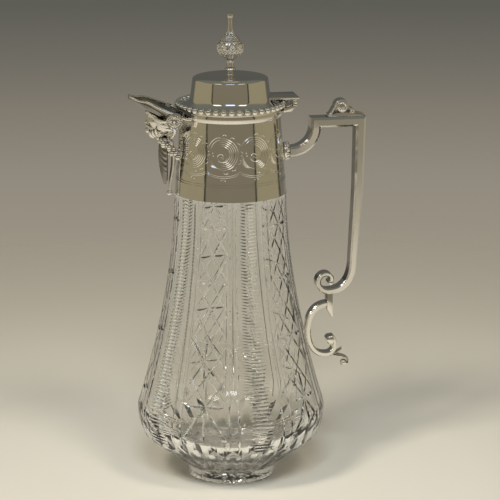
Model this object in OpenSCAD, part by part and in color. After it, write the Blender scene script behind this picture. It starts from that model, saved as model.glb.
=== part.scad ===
// Claret jug: a cut-glass body in a silver-plated collar, with a cast mask spout,
// a scrolled strap handle and a domed lid that swings on a pin above the handle.
// The origin is the centre of the foot, +Z is up, the handle is at +X, the spout at -X.

/* [Glass body] */
// Radius of the glass at the belly
belly_r = 58.3; // [55:0.1:63]
// Height of the belly above the table
belly_z = 46.3; // [42:0.1:54]
// Radius of the glass where it meets the collar
shoulder_r = 34.8; // [34.6:0.1:37]
// Height at which the glass meets the collar
shoulder_z = 181.7; // [172:0.1:192]
// Radius of the sharp corner below the belly
corner_r = 54.4; // [51:0.1:56]
// Height of the sharp corner
corner_z = 27; // [24:0.1:31]
// Radius of the foot
foot_r = 27.8; // [25:0.1:31]
// Height of the foot's upright rim
foot_h = 7; // [5:0.1:9]
// Depth of the ground hollow under the foot
foot_hollow = 1.5; // [0.8:0.1:2.5]
// Thickness of the glass wall
glass_wall = 4.5; // [3.8:0.1:5.5]
// Thickness of the glass at the base
base_thick = 12; // [10:0.5:15]
// Room between the mouth of the neck and the collar, which the cement fills
neck_gap = 2.5; // [2.2:0.1:3]
// Height of the neck above the shoulder
neck_h = 37.3; // [33:0.1:40]
// Thickness of the neck's wall
neck_wall = 3.8; // [3:0.1:4.5]

/* [Cutting] */
// Number of repeats of the cut pattern round the body
pattern_count = 5; // [4:1:6]
// Width of a ladder column, in degrees round the body
ladder_angle = 18; // [12:1:22]
// Height of one rung of a ladder
rung_pitch = 4.4; // [3.6:0.1:6]
// Depth of the rungs
rung_depth = 0.9; // [0.5:0.1:1.2]
// Number of long flutes round the lower cone
flute_count = 30; // [20:5:35]
// Depth of the flutes at the corner
flute_depth = 2; // [1:0.1:2.2]
// Share of the cone that the flutes take up
flute_share = 0.84; // [0.4:0.02:0.9]
// Turn of the pattern round the body, in degrees
pattern_turn = -80.5; // [-100:0.5:-60]

/* [Collar] */
// Outer radius of the collar at its lower edge
collar_r = 34.5; // [34.2:0.1:34.6]
// Outer radius of the collar at its upper edge
collar_top_r = 30.9; // [30.7:0.1:31.5]
// Height of the collar band
collar_h = 47.6; // [44:0.1:52]
// Thickness of the plated sheet
sheet = 1; // [0.8:0.1:1.2]
// Step of the rim moulding out from the collar's upper edge
rim_step = 0.9; // [0.7:0.05:1.2]
// Height of the rim moulding
rim_h = 4.9; // [4:0.1:6]
// Thickness of the rim moulding
rim_wall = 2.4; // [2.2:0.05:2.6]
// Height of the engraved line pair above the collar's lower edge
line_z = 9.3; // [6:0.1:14]
// Distance between the two engraved lines
line_gap = 1.4; // [1:0.1:2]
// Depth of the engraved lines
line_depth = 0.3; // [0.2:0.05:0.4]

/* [Spout] */
// Distance of the spout's tip in front of the rim
spout_out = 31; // [27:0.1:35]
// Height of the spout's tip above the top of the collar band
spout_rise = 14.1; // [11:0.1:17]
// Half of the width of the trough where it leaves the collar
spout_half = 16; // [13:0.1:17]
// Depth of the throat cut into the collar, below the rim's top
throat_depth = 10.5; // [9:0.1:12]
// Thickness of the spout's wall
spout_wall = 1.6; // [1.3:0.1:2]
// Radius of the rosettes beside the spout
rosette_r = 5.4; // [4.6:0.1:5.8]
// Thickness of the rosettes
rosette_t = 1.6; // [1.2:0.1:2]

/* [Mask] */
// Half of the height of the head
head_h = 11.5; // [10.5:0.1:12.5]
// Half of the width of the head
head_w = 8.3; // [7.5:0.1:9]
// Half of the depth of the head
head_d = 10; // [9:0.1:10.5]
// Distance of the head's centre in front of the collar
head_out = 11.2; // [10.2:0.1:12]
// Depth of the head's centre below the top of the collar band
head_drop = 2.3; // [1:0.1:4]
// Length of the leaf that hangs below the head
pendant_l = 29.5; // [26:0.1:32]
// Half of the width of the hanging leaf
pendant_half = 4.4; // [3.6:0.1:5]
// Depth of the hanging leaf in front of its spine
pendant_depth = 2.6; // [1.6:0.1:3.2]
// Radius of a grape
grape_r = 1.7; // [1.4:0.05:1.9]

/* [Handle] */
// Distance of the handle's outer corner from the axis of the jug
handle_reach = 84.1; // [80:0.1:90]
// Height of the handle's top above the top of the collar band
handle_drop = 2.9; // [1:0.1:5]
// Distance of the handle's inner upper corner from the axis
handle_start = 49.6; // [48:0.1:52]
// Thickness of the top bar and of the arm
bar_thick = 6.2; // [5:0.1:7]
// Width of the top bar
bar_width = 12; // [10:0.1:13]
// Radius of the arm that springs from the collar
arm_r = 15.3; // [13:0.1:17]
// Thickness of the upright bar at its lower end
grip_thick = 4.6; // [4:0.1:5.5]
// Height at which the upright bar starts to curl
grip_end_z = 135; // [130:0.5:142]
// Height of the centre of the upper scroll
scroll_z = 122; // [118:0.5:126]
// Radius of the upper scroll
scroll_r = 6.8; // [6:0.1:7.5]
// Thickness of the scrolls
scroll_thick = 3.3; // [2.8:0.1:3.8]
// Height of the lower scroll at its nearest to the glass
lower_z = 90; // [86:0.5:94]
// Half of the height of the lower scroll
lower_half = 16.8; // [15.5:0.1:18]
// Width of the lower scroll
lower_width = 8; // [6:0.1:10]
// Gap between the lower scroll and the glass
lower_gap = 0.9; // [0.7:0.1:2]
// Radius of the knurl on the handle's top
thumb_r = 3.6; // [3:0.1:4.2]
// Radius of the beaded ferrule at the root of the handle
ferrule_r = 5.6; // [5:0.1:6.5]
// Length of the beaded ferrule
ferrule_l = 4.6; // [3.5:0.1:6]
// Height of the handle's root below the top of the collar band
arm_drop = 23.8; // [22:0.1:26]

/* [Lid] */
// Gap between the collar's rim and the closed lid
lid_gap = 0.3; // [0.2:0.05:0.5]
// Number of beads round the lid
bead_count = 42; // [36:1:44]
// Radius of a bead
bead_r = 1.95; // [1.6:0.05:2.05]
// Distance of the beads' centres outside the rim
bead_out = 0.5; // [0.2:0.05:0.8]
// Radius of the raised drum at its foot
drum_r = 24.6; // [22:0.1:25.5]
// Radius of the drum at its top
drum_top_r = 23.2; // [20:0.1:23.8]
// Height of the drum's wall
drum_h = 10.6; // [8:0.1:13]
// Height of the hollow curve from the beads up to the drum
cavetto_h = 5; // [4:0.1:6]
// Rise of the crown above the drum's wall
crown_h = 2.6; // [1.5:0.1:4]
// Clearance of the lid's bezel in the mouth of the collar
bezel_clearance = 0.8; // [0.7:0.05:1.1]
// Depth of the bezel below the beads
bezel_h = 5.4; // [4:0.1:6.5]

/* [Hinge] */
// Distance of the hinge pin outside the rim
hinge_out = 7.2; // [6.9:0.1:9]
// Height of the hinge pin above the top of the rim
hinge_rise = 3.3; // [3:0.05:3.6]
// Radius of the hinge pin
pin_r = 1; // [0.8:0.05:1.1]
// Running clearance round the pin
pin_clearance = 0.04; // [0.02:0.01:0.08]
// Outer radius of the knuckles
knuckle_r = 1.65; // [1.55:0.05:1.8]
// Width of the hinge
hinge_w = 19; // [16:0.5:22]
// Width of the lid's middle knuckle
mid_w = 7.4; // [6:0.1:9]
// Side gap between knuckles
knuckle_gap = 0.15; // [0.1:0.05:0.3]
// Thickness of the hinge leaves
leaf_t = 1.2; // [1:0.1:1.5]

/* [Finial] */
// Height of the finial above the crown of the lid
finial_h = 37.6; // [32:0.1:42]
// Radius of the finial's leafy bulb
bulb_r = 8; // [7:0.1:9]
// Radius of the finial's foot
finial_foot_r = 3.8; // [3.5:0.1:4.5]
// Radius of the screw that holds the finial
stud_r = 1.5; // [1.2:0.05:1.7]
// Length of the screw's hold inside the finial
stud_grip = 5; // [4:0.1:6]
// Thickness of the washer
washer_t = 0.8; // [0.6:0.1:1]
// Thickness of the nut
nut_t = 2.2; // [1.8:0.1:2.6]
// Distance across the corners of the nut, halved
nut_r = 3.2; // [2.8:0.1:3.6]

/* [Hidden] */
fine = 96;
silver = [0.86, 0.85, 0.82];
glass = [0.86, 0.9, 0.9, 0.5];
plaster = [0.9, 0.88, 0.82];
cut = 0.01;
seat_gap = 0.1;

// Heights and radii that follow from the driving sizes
collar_top_z = shoulder_z + collar_h;
rim_top_z = collar_top_z + rim_h;
neck_top_z = shoulder_z + neck_h;
bead_base_z = rim_top_z + lid_gap;
flange_z = bead_base_z + bead_r - 0.25;
drum_z = flange_z + cavetto_h;
drum_top_z = drum_z + drum_h;
crown_z = drum_top_z + crown_h;
hinge_z = rim_top_z + hinge_rise;
mask_z = collar_top_z - head_drop;
function collar_line(z) = mix(collar_r, collar_top_r, (z - shoulder_z) / collar_h);
neck_r = collar_line(neck_top_z) - sheet - neck_gap;
rim_r = collar_top_r + rim_step;
mouth_r = rim_r - rim_wall;
bead_ring_r = rim_r + bead_out;
hinge_x = rim_r + hinge_out;
head_x = collar_line(mask_z) + head_out;
spout_reach = rim_r + spout_out;

function unit(v) = v / norm(v);
function mix(a, b, t) = a + (b - a) * t;
function bez(a, b, c, d, t) =
    pow(1 - t, 3) * a + 3 * pow(1 - t, 2) * t * b + 3 * (1 - t) * t * t * c + pow(t, 3) * d;
function bez_run(a, b, c, d, n) = [for (i = [0:n]) bez(a, b, c, d, i / n)];
function arc_run(c, r0, r1, a0, a1, n) =
    [for (i = [0:n]) let (t = i / n, a = mix(a0, a1, t)) c + mix(r0, r1, t) * [cos(a), sin(a)]];
function tail(list) = [for (i = [1:len(list) - 1]) list[i]];
function reversed(list) = [for (i = [len(list) - 1:-1:0]) list[i]];
function bump(y, z, cy, cz, sy, sz) = exp(-pow((y - cy) / sy, 2) - pow((z - cz) / sz, 2));

// The glass's side: a long swell from the shoulder to the belly, then a turn to the corner
side_steps = 16;
turn_steps = 5;
side_run = bez_run([shoulder_r, shoulder_z], [shoulder_r, shoulder_z - 43],
                   [belly_r - 12.5, belly_z + 40], [belly_r, belly_z], side_steps);
turn_run = bez_run([belly_r, belly_z], [belly_r + 1, belly_z - 4.3],
                   [corner_r + 3.2, corner_z + 5], [corner_r, corner_z], turn_steps);
outline = concat(side_run, tail(turn_run));
function glass_r(z) = lookup(z, [for (p = outline) [p.y, p.x]]);

// A band of rows by columns closed at both ends, as a solid skin
function skin_faces(rows, cols) = concat(
    [for (i = [0:rows - 2], j = [0:cols - 1]) [i * cols + j, i * cols + (j + 1) % cols, (i + 1) * cols + j]],
    [for (i = [0:rows - 2], j = [0:cols - 1])
        [i * cols + (j + 1) % cols, (i + 1) * cols + (j + 1) % cols, (i + 1) * cols + j]],
    [for (j = [1:cols - 2]) [0, j + 1, j]],
    [for (j = [1:cols - 2]) [for (k = [0, j, j + 1]) (rows - 1) * cols + k]]);

// A chamfered strap that follows points of the XZ plane, drawn from one station to another
function run_dir(p, i) = unit(p[min(i + 1, len(p) - 1)] - p[min(i, len(p) - 2)]);
function station_normal(p, i) =
    let (a = run_dir(p, max(i - 1, 0)), b = run_dir(p, i), m = unit(a + b)) [-m.y, m.x] / (m * a);
module strap(path, thick, width, first = 0, last = -1, bevel = 0.22) {
    end = last < 0 ? len(path) - 1 : last;
    rings = [for (i = [first:end])
        let (n = station_normal(path, i), t = thick[i] / 2, w = width[i] / 2, c = thick[i] * bevel)
        [for (s = [[t, w - c], [t - c, w], [c - t, w], [-t, w - c], [-t, c - w], [c - t, -w], [t - c, -w], [t, c - w]])
            let (q = path[i] + n * s.x) [q.x, s.y, q.y]]];
    polyhedron([for (r = rings) each r], skin_faces(end - first + 1, 8), convexity = 6);
}

// Glass body

module glass_body() {
    inner_top = [for (p = side_run) [p.x - glass_wall, p.y]];
    bowl = bez_run([belly_r - glass_wall, belly_z], [belly_r - glass_wall + 0.5, corner_z + 4],
                   [foot_r + 6, base_thick], [0, base_thick], 10);
    color(glass) difference() {
        rotate_extrude($fn = fine) polygon(concat(
            [[0, foot_hollow], [foot_r - 6, foot_hollow], [foot_r - 4, 0], [foot_r - 0.6, 0], [foot_r, 0.6]],
            [[foot_r, foot_h]], reversed(outline),
            [[neck_root_r, shoulder_z], [neck_r, neck_top_z - 0.8], [neck_r - 0.8, neck_top_z]],
            [[neck_r - neck_wall + 0.8, neck_top_z], [neck_r - neck_wall, neck_top_z - 0.8]],
            inner_top, tail(bowl)));
        cone_flutes();
        ladder_rungs();
    }
}

neck_root_r = collar_r - sheet - 1.2;
function neck_line(z) = mix(neck_root_r, neck_r, (z - shoulder_z) / (neck_h - 0.8));

// Long mitre flutes from the corner down to the foot
module cone_flutes() {
    fall = [corner_r, corner_z] - [foot_r, foot_h];
    slope = atan2(fall.y, fall.x);
    shoaling = atan(flute_depth * (1 - foot_r / corner_r) / norm(fall));
    flare = flute_share * PI * corner_r / flute_count / flute_depth;
    for (i = [0:flute_count - 1])
        rotate(pattern_turn + 360 / flute_count * (i + 0.5))
            translate([corner_r, 0, corner_z])
                rotate([0, 90 - slope - shoaling, 0])
                    translate([0, 0, 1.5 - norm(fall)])
                        linear_extrude(norm(fall) + 6)
                            polygon([[-flute_depth, 0], [1, flare * (flute_depth + 1)],
                                     [1, -flare * (flute_depth + 1)]]);
}

// Ladder columns: one comb of V rungs turned through the width of a column
module ladder_rungs() {
    top = shoulder_z - 5;
    rungs = floor((top - corner_z - 4) / rung_pitch);
    comb = [for (i = [0:2 * rungs])
        let (z = top - i * rung_pitch / 2, deep = i % 2 == 1 ? rung_depth : 0.15) [glass_r(z) - deep, z]];
    bottom = top - rungs * rung_pitch;
    for (i = [0:pattern_count - 1])
        rotate(pattern_turn + 360 / pattern_count * i - ladder_angle / 2)
            rotate_extrude(angle = ladder_angle, $fn = fine)
                polygon(concat(comb, [[belly_r + 3, bottom], [belly_r + 3, top]]));
}

// Collar

module neck_cement() {
    foot_z = shoulder_z + 1;
    head_z = neck_top_z - 3;
    color(plaster) rotate_extrude($fn = fine) polygon([
        [neck_line(foot_z), foot_z], [collar_line(foot_z) - sheet, foot_z],
        [collar_line(head_z) - sheet, head_z], [neck_line(head_z), head_z]]);
}

// Solid of the collar's outer shape, which the castings that sit against it are scribed to
module collar_form() {
    rotate_extrude($fn = fine) polygon([
        [0, shoulder_z - 1], [collar_r, shoulder_z - 1], [collar_r, shoulder_z],
        [collar_top_r, collar_top_z], [rim_r, collar_top_z + rim_h * 0.3],
        [rim_r, rim_top_z - rim_h * 0.3], [rim_r - 0.7, rim_top_z], [0, rim_top_z]]);
}

// The opening that the throat of the spout makes in the collar and its rim
module throat() {
    translate([-spout_reach, 0, 0]) rotate([90, 0, 90])
        linear_extrude(spout_reach - 15)
            polygon(concat([[spout_half, rim_top_z + 3]], trough_section(0, 0), [[-spout_half, rim_top_z + 3]]));
}

module engraved_line(z) {
    r = collar_line(z);
    rotate_extrude($fn = fine)
        polygon([[r + 0.1, z - line_depth], [r - line_depth, z], [r + 0.1, z + line_depth]]);
}

module collar_band() {
    color(silver) difference() {
        rotate_extrude($fn = fine) polygon([
            [collar_r, shoulder_z], [collar_top_r, collar_top_z],
            [collar_top_r - sheet, collar_top_z], [collar_r - sheet, shoulder_z]]);
        throat();
        engraved_line(shoulder_z + line_z);
        engraved_line(shoulder_z + line_z + line_gap);
    }
}

module collar_rim() {
    color(silver) difference() {
        rotate_extrude($fn = fine) polygon([
            [mouth_r, collar_top_z], [collar_top_r, collar_top_z], [rim_r, collar_top_z + rim_h * 0.3],
            [rim_r, rim_top_z - rim_h * 0.3], [rim_r - 0.7, rim_top_z], [mouth_r + 0.4, rim_top_z],
            [mouth_r, rim_top_z - 0.4]]);
        throat();
    }
}

// Spout: a trough whose sides draw in and rise to a pointed lip

trough_steps = 12;
trough_sides = 10;
tip_z = collar_top_z + spout_rise;
function trough_half(s) = mix(spout_half, 0.7, pow(s, 2.1));
function trough_rim(s) = bez(rim_top_z - 0.4, rim_top_z - 3.5, tip_z - 0.5, tip_z, s);
function trough_keel(s) = bez(rim_top_z - throat_depth, rim_top_z - throat_depth + 1, tip_z - 6, tip_z - 0.8, s);
function trough_section(s, wall) = [for (j = [0:trough_sides])
    let (a = 90 - 180 * j / trough_sides)
    [(trough_half(s) + wall) * sin(a), trough_rim(s) - (trough_rim(s) - trough_keel(s) + wall) * cos(a)]];
root_x = mouth_r - 7;
function trough_x(s, y) = -mix(root_x, spout_reach, s);

module trough(wall) {
    cols = 2 * (trough_sides + 1);
    rows = trough_steps + 1;
    rings = [for (i = [0:trough_steps])
        let (s = i / trough_steps, body = max(0, (mix(root_x, spout_reach, s) - rim_r) / (spout_reach - rim_r)))
        [for (p = concat(trough_section(body, wall), reversed(trough_section(body, 0))))
            [trough_x(s, p.x), p.x, p.y]]];
    caps = [for (e = [0, rows - 1], j = [0:trough_sides - 1])
        let (o = e * cols, q = [o + j, o + j + 1, o + cols - 2 - j, o + cols - 1 - j]) e == 0 ? reversed(q) : q];
    quads = [for (i = [0:rows - 2], j = [0:cols - 1])
        [i * cols + j, i * cols + (j + 1) % cols, (i + 1) * cols + (j + 1) % cols, (i + 1) * cols + j]];
    polyhedron([for (r = rings) each r], [for (f = concat(caps, quads)) reversed(f)], convexity = 6);
}

module spout_lip() {
    color(silver) difference() {
        union() {
            trough(spout_wall);
            for (side = [-1, 1]) rosette(side);
        }
        collar_form();
    }
}

// Round boss on the side of the trough, close to the collar
module rosette(side) {
    translate([-head_x + 6, side * (spout_half - 0.6), rim_top_z - rosette_r])
        rotate([-side * 84, 0, side * 12]) {
            cylinder(r = rosette_r, h = rosette_t + 1, $fn = fine);
            cylinder(r1 = rosette_r * 0.62, r2 = rosette_r * 0.3, h = rosette_t + 1.8, $fn = fine);
        }
}

// The head: an egg whose front carries a plain, regular face
head_cols = 30;
head_rows = 18;
function face_relief(y, z) =
    let (v = z / head_h, u = y / head_w)
    1.5 * bump(u, v, 0, -0.18, 0.17, 0.24) + 0.8 * bump(u, v, 0, 0.06, 0.13, 0.2)
    + 0.7 * (bump(u, v, 0.38, 0.26, 0.3, 0.09) + bump(u, v, -0.38, 0.26, 0.3, 0.09))
    - 0.9 * (bump(u, v, 0.37, 0.08, 0.19, 0.11) + bump(u, v, -0.37, 0.08, 0.19, 0.11))
    + 0.5 * (bump(u, v, 0.5, -0.25, 0.24, 0.22) + bump(u, v, -0.5, -0.25, 0.24, 0.22))
    + 0.6 * bump(u, v, 0, -0.5, 0.26, 0.06) - 0.4 * bump(u, v, 0, -0.57, 0.24, 0.04)
    + 0.5 * bump(u, v, 0, -0.64, 0.2, 0.05) + 0.7 * bump(u, v, 0, -0.84, 0.28, 0.12);
module egg() {
    pts = [for (i = [0:head_rows], j = [0:head_cols - 1])
        let (el = mix(-86, 86, i / head_rows), az = 360 * j / head_cols,
             p = [head_d * cos(el) * cos(az), head_w * cos(el) * sin(az) * mix(0.82, 1, (sin(el) + 1) / 2),
                  head_h * sin(el)],
             out = az < 90 || az > 270 ? face_relief(p.y, p.z) : 0)
        p + [out, 0, 0]];
    polyhedron(pts, [for (f = skin_faces(head_rows + 1, head_cols)) reversed(f)], convexity = 6);
}

module mask_fill() {
    translate([-head_x, 0, mask_z]) rotate([0, 0, 180]) egg();
}

module mask_head() {
    color(silver) difference() {
        union() {
            mask_fill();
            translate([-head_x - head_d * 0.8, 0, mask_z - head_h * 0.5]) sphere(r = 2, $fn = 16);
        }
        collar_form();
        hull_of_trough();
        translate([-spout_reach, -spout_half, 0])
            cube([spout_reach, 2 * spout_half, mask_z - head_h + 1.5]);
    }
}

// The trough filled in, for fitting the head beneath it
module hull_of_trough() {
    cols = trough_sides + 3;
    above = tip_z + head_h;
    rings = [for (i = [0:trough_steps])
        let (s = i / trough_steps, body = max(0, (mix(root_x, spout_reach, s) - rim_r) / (spout_reach - rim_r)),
             section = trough_section(body, spout_wall + seat_gap))
        [for (p = concat([[section[0].x, above]], section, [[-section[0].x, above]])) [trough_x(s, p.x), p.x, p.y]]];
    polyhedron([for (r = rings) each r], [for (f = skin_faces(trough_steps + 1, cols)) reversed(f)], convexity = 6);
}

// Leaf that hangs from the chin, ribbed, with a drop at its tip
pendant_top = mask_z - head_h + 1.5;
pendant_x = head_x - 0.4;
pendant_rows = 14;
function pendant_half_at(t) = pendant_half * pow(sin(180 * mix(0.2, 0.985, t)), 0.8);
function pendant_spine(t) = -mix(pendant_x, pendant_x - 1, t);

module beard_pendant() {
    ring = [for (i = [0:pendant_rows])
        let (t = i / pendant_rows, h = pendant_half_at(t), x = pendant_spine(t), z = pendant_top - pendant_l * t,
             d = pendant_depth * h / pendant_half, rib = i % 2 == 1 ? 0.55 : 0)
        [[x - 0.6 - d, 0, z], [x - 0.4 - d * 0.6 - rib, h * 0.55, z], [x - 0.1, h, z], [x + 0.7, h * 0.5, z],
         [x + 1.2, 0, z], [x + 0.7, -h * 0.5, z], [x - 0.1, -h, z], [x - 0.4 - d * 0.6 - rib, -h * 0.55, z]]];
    tip_low = pendant_top - pendant_l;
    drop = [pendant_spine(1) + 3, tip_low - 5];
    strut_z = pendant_top - 0.35 * pendant_l;
    ribbon = bez_run([drop.x + 2.4, strut_z], [drop.x + 2.8, strut_z - 9], [drop.x, tip_low + 4], drop, 8);
    color(silver) difference() {
        union() {
            polyhedron([for (r = ring) each r],
                       [for (f = skin_faces(pendant_rows + 1, 8)) reversed(f)], convexity = 4);
            strap(ribbon, ramp(1.5, 1.8, len(ribbon)), ramp(4.6, 2.4, len(ribbon)));
            translate([drop.x, 0, drop.y - 0.6]) sphere(r = 1.8, $fn = 32);
            translate([pendant_spine(0.35), 0, strut_z]) rotate([0, 90, 0])
                cylinder(r = 1.4, h = collar_r, $fn = 32);
        }
        collar_form();
    }
}

// A bunch of grapes on a stem beside the chin: its rows narrow downwards and draw in to the collar
module grape_bunch(side) {
    top_z = pendant_top - 1.5;
    step = grape_r * 1.4;
    row_sizes = [3, 3, 2, 2, 1];
    y_top = pendant_half + 1.4;
    stem_x = -collar_line(top_z) - grape_r - 4.6;
    stem = bez_run([stem_x, top_z], [stem_x + 1.6, top_z + 3], [stem_x + 2.6, top_z + 6], [stem_x + 1.8, top_z + 9], 6);
    color(silver) difference() {
        union() {
            for (i = [0:len(row_sizes) - 1], j = [0:row_sizes[i] - 1])
                let (z = top_z - i * step)
                translate([-collar_line(z) - grape_r - 5.2 + i * 1.3 - j * step, side * (y_top + i * 1.1), z])
                    sphere(r = grape_r, $fn = 12);
            translate([0, side * y_top, 0]) strap(stem, ramp(1.6, 2, len(stem)), ramp(2, 2.6, len(stem)));
        }
        collar_form();
        mask_fill();
        hull_of_trough();
    }
}
module grape_bunch_near() { grape_bunch(-1); }
module grape_bunch_far() { grape_bunch(1); }

// Handle: one run of stations from the ferrule, over the top and down to the upper scroll

arm_z = collar_top_z - arm_drop;
arm_x = collar_line(arm_z) + ferrule_l;
top_z = collar_top_z - handle_drop;
inner_x = handle_start + bar_thick / 2;
outer_x = handle_reach - bar_thick / 2;
bar_z = top_z - bar_thick / 2;
lower_x = glass_r(lower_z) + lower_gap + scroll_thick / 2;
stem_w = 3.7;
stem_x = lower_x + lower_half * 0.92;
scroll_c = [stem_x - 3.6, scroll_z];
scroll_base = scroll_c - [0, scroll_r];
grip_top = [outer_x, bar_z];
grip_mid = [outer_x - 1, mix(bar_z, grip_end_z, 0.5)];
grip_end = [outer_x - 3.7, grip_end_z];

arm_run = concat([[arm_x - 0.6, arm_z]],
                 bez_run([arm_x, arm_z], [arm_x + arm_r * 0.56, arm_z],
                         [inner_x, arm_z + arm_r * 0.44], [inner_x, arm_z + arm_r], 9));
curl_run = bez_run(grip_end, grip_end - [0.3, 12], scroll_base + [11.5, -0.4], scroll_base, 9);
spiral_run = tail(arc_run(scroll_c, scroll_r, 2.6, -90, -390, 20));
arm_end = len(arm_run) + 1;
handle_path = concat(arm_run, [[inner_x, bar_z], grip_top, grip_mid], curl_run, spiral_run);
function ramp(from, to, n) = [for (i = [0:n - 1]) mix(from, to, n == 1 ? 1 : i / (n - 1))];
handle_thick = concat(ramp(bar_thick, bar_thick, len(arm_run) + 1), [bar_thick, mix(bar_thick, grip_thick, 0.4)],
                      ramp(grip_thick, scroll_thick, len(curl_run)), ramp(scroll_thick, 2.2, len(spiral_run)));
handle_width = concat(ramp(bar_width - 2, bar_width, len(arm_run)), [bar_width, bar_width, bar_width],
                      ramp(bar_width - 1.5, lower_width + 1, len(curl_run)),
                      ramp(lower_width + 1, lower_width, len(spiral_run)));

module handle_arm() {
    color(silver) strap(handle_path, handle_thick, handle_width, 0, arm_end);
}

// Upright bar, upper scroll with its eye, and the pointed stem below it
module handle_grip() {
    eye = handle_path[len(handle_path) - 1];
    stem_top = scroll_base.y - scroll_thick / 2 + 0.8;
    color(silver) {
        strap(handle_path, handle_thick, handle_width, arm_end);
        translate([eye.x, 0, eye.y]) rotate([90, 0, 0])
            cylinder(r = 1.7, h = lower_width + 0.8, center = true, $fn = fine);
        rotate([90, 0, 0]) linear_extrude(lower_width, center = true)
            polygon([[stem_x - stem_w, stem_top], [stem_x, stem_top + 0.2], [stem_x + 0.3, stem_top - 17],
                     [stem_x - stem_w, stem_top - 10.5]]);
    }
}

// Lower scroll: a C that starts at the stem, nearly meets the glass and curls in below
lower_start = [stem_x - stem_w, lower_z + lower_half];
lower_left = [lower_x, lower_z];
lower_base = [stem_x - lower_half * 0.24, lower_z - lower_half * 0.95];
lower_turn = [stem_x + lower_half * 0.1, lower_z - lower_half * 0.57];
lower_eye = [stem_x - lower_half * 0.07, lower_z - lower_half * 0.39];
eye_r = lower_half * 0.16;
lower_sweep = bez_run(lower_start - [0.5, 0], lower_start - lower_half * [0.54, 0.08],
                      lower_left + [0, lower_half * 0.54], lower_left, 9);
lower_return = bez_run(lower_left, lower_left - [0, lower_half * 0.54],
                       lower_base - [lower_half * 0.45, 0], lower_base, 9);
lower_curl = concat(
    tail(bez_run(lower_base, lower_base + [lower_half * 0.27, 0],
                 lower_turn - [0, lower_half * 0.19], lower_turn, 5)),
    tail(bez_run(lower_turn, lower_turn + [0, lower_half * 0.13],
                 lower_eye + lower_half * [0.15, 0.12], lower_eye + lower_half * [0.04, 0.13], 4)));
lower_path = concat([lower_start], lower_sweep, tail(lower_return), lower_curl);
lower_steady = len(lower_path) - len(lower_curl);
lower_thick = concat(ramp(scroll_thick, scroll_thick, lower_steady), ramp(scroll_thick, 2, len(lower_curl)));
lower_widths = ramp(lower_width, lower_width - 1, len(lower_path));

module lower_strap() {
    strap(lower_path, lower_thick, lower_widths);
}

module handle_lower_scroll() {
    color(silver) {
        lower_strap();
        translate([lower_eye.x, 0, lower_eye.y]) rotate([90, 0, 0])
            cylinder(r = eye_r, h = lower_width, center = true, $fn = fine);
    }
}

// Leaf at the foot of the handle: two lobes and a tail that curls over a ball
module handle_leaf() {
    root = lower_base + [2.5, -0.6];
    ball = root + [9.4, -6];
    tail_run = bez_run(root, root + [7, -1.2], ball + [4.6, 3.6], ball + [2.6, -0.6], 10);
    lobe_run = bez_run(root, root + [3, 0.6], root + [6, 1.5], root + [8.2, 3.4], 5);
    color(silver) difference() {
        union() {
            strap(tail_run, ramp(2.6, 1.4, 11), ramp(lower_width - 1, 3, 11));
            strap(lobe_run, ramp(2.4, 1, 6), ramp(lower_width, 3.4, 6));
            translate([ball.x, 0, ball.y]) sphere(r = 2.2, $fn = 48);
        }
        lower_strap();
    }
}

// Knurl on the handle's top for the thumb, with a foot leaf towards the outer corner
module thumb_scroll() {
    centre = [handle_reach - 14.9, top_z + thumb_r + 2.6];
    curl = centre + [6.4, -3.4];
    rise = concat(bez_run([centre.x - 9, top_z + 0.8], [centre.x - 6, top_z + 0.9],
                          [centre.x - 5.6, centre.y - 1.5], centre + [-thumb_r - 0.4, 0], 6),
                  tail(arc_run(centre, thumb_r + 0.4, thumb_r + 0.2, 180, 10, 9)),
                  tail(bez_run(centre + [thumb_r + 0.15, 0.7], centre + [thumb_r + 0.4, -2],
                               curl + [-1.2, 2.4], curl + [0.4, 1.5], 4)));
    seat_l = handle_reach - centre.x + 7.4;
    color(silver) {
        strap(rise, ramp(1.5, 1.3, len(rise)), ramp(bar_width - 5, bar_width - 3.5, len(rise)));
        translate([centre.x, 0, centre.y]) rotate([90, 0, 0]) {
            cylinder(r = thumb_r, h = bar_width - 2.5, center = true, $fn = fine);
            cylinder(r = thumb_r * 0.5, h = bar_width - 1.5, center = true, $fn = fine);
        }
        translate([curl.x, 0, curl.y]) rotate([90, 0, 0])
            cylinder(r = 1.7, h = bar_width - 4.5, center = true, $fn = fine);
        translate([centre.x - 8.6, 0, top_z]) rotate([90, 0, 0])
            linear_extrude(bar_width - 4, center = true)
                polygon([[0, 0], [seat_l, 0], [seat_l, 0.7], [seat_l - 4, 1.5], [12, 2.6], [5.5, 2.6], [0, 0.7]]);
    }
}

// Beaded ferrule that covers the joint of the handle and the collar
module handle_ferrule() {
    color(silver) difference() {
        translate([0, 0, arm_z]) rotate([0, 90, 0]) {
            cylinder(r = ferrule_r, h = arm_x - ferrule_l * 0.45, $fn = fine);
            cylinder(r = ferrule_r - 1.4, h = arm_x - 0.6, $fn = fine);
            for (i = [0:8])
                rotate(40 * i) translate([ferrule_r - 1.2, 0, arm_x - ferrule_l * 0.45])
                    sphere(r = 1.6, $fn = 32);
        }
        collar_form();
        translate([arm_x - 0.6, -bar_width, arm_z - bar_width])
            cube([ferrule_l, 2 * bar_width, 2 * bar_width]);
    }
}

// Hinge

outer_w = (hinge_w - mid_w) / 2 - knuckle_gap;
knuckle_y = mid_w / 2 + knuckle_gap + outer_w / 2;

module knuckle(y, w) {
    translate([hinge_x, y, hinge_z]) rotate([90, 0, 0])
        cylinder(r = knuckle_r, h = w, center = true, $fn = fine);
}

module pin_bore() {
    translate([hinge_x, 0, hinge_z]) rotate([90, 0, 0])
        cylinder(r = pin_r + pin_clearance, h = hinge_w + 2, center = true, $fn = fine);
}

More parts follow.
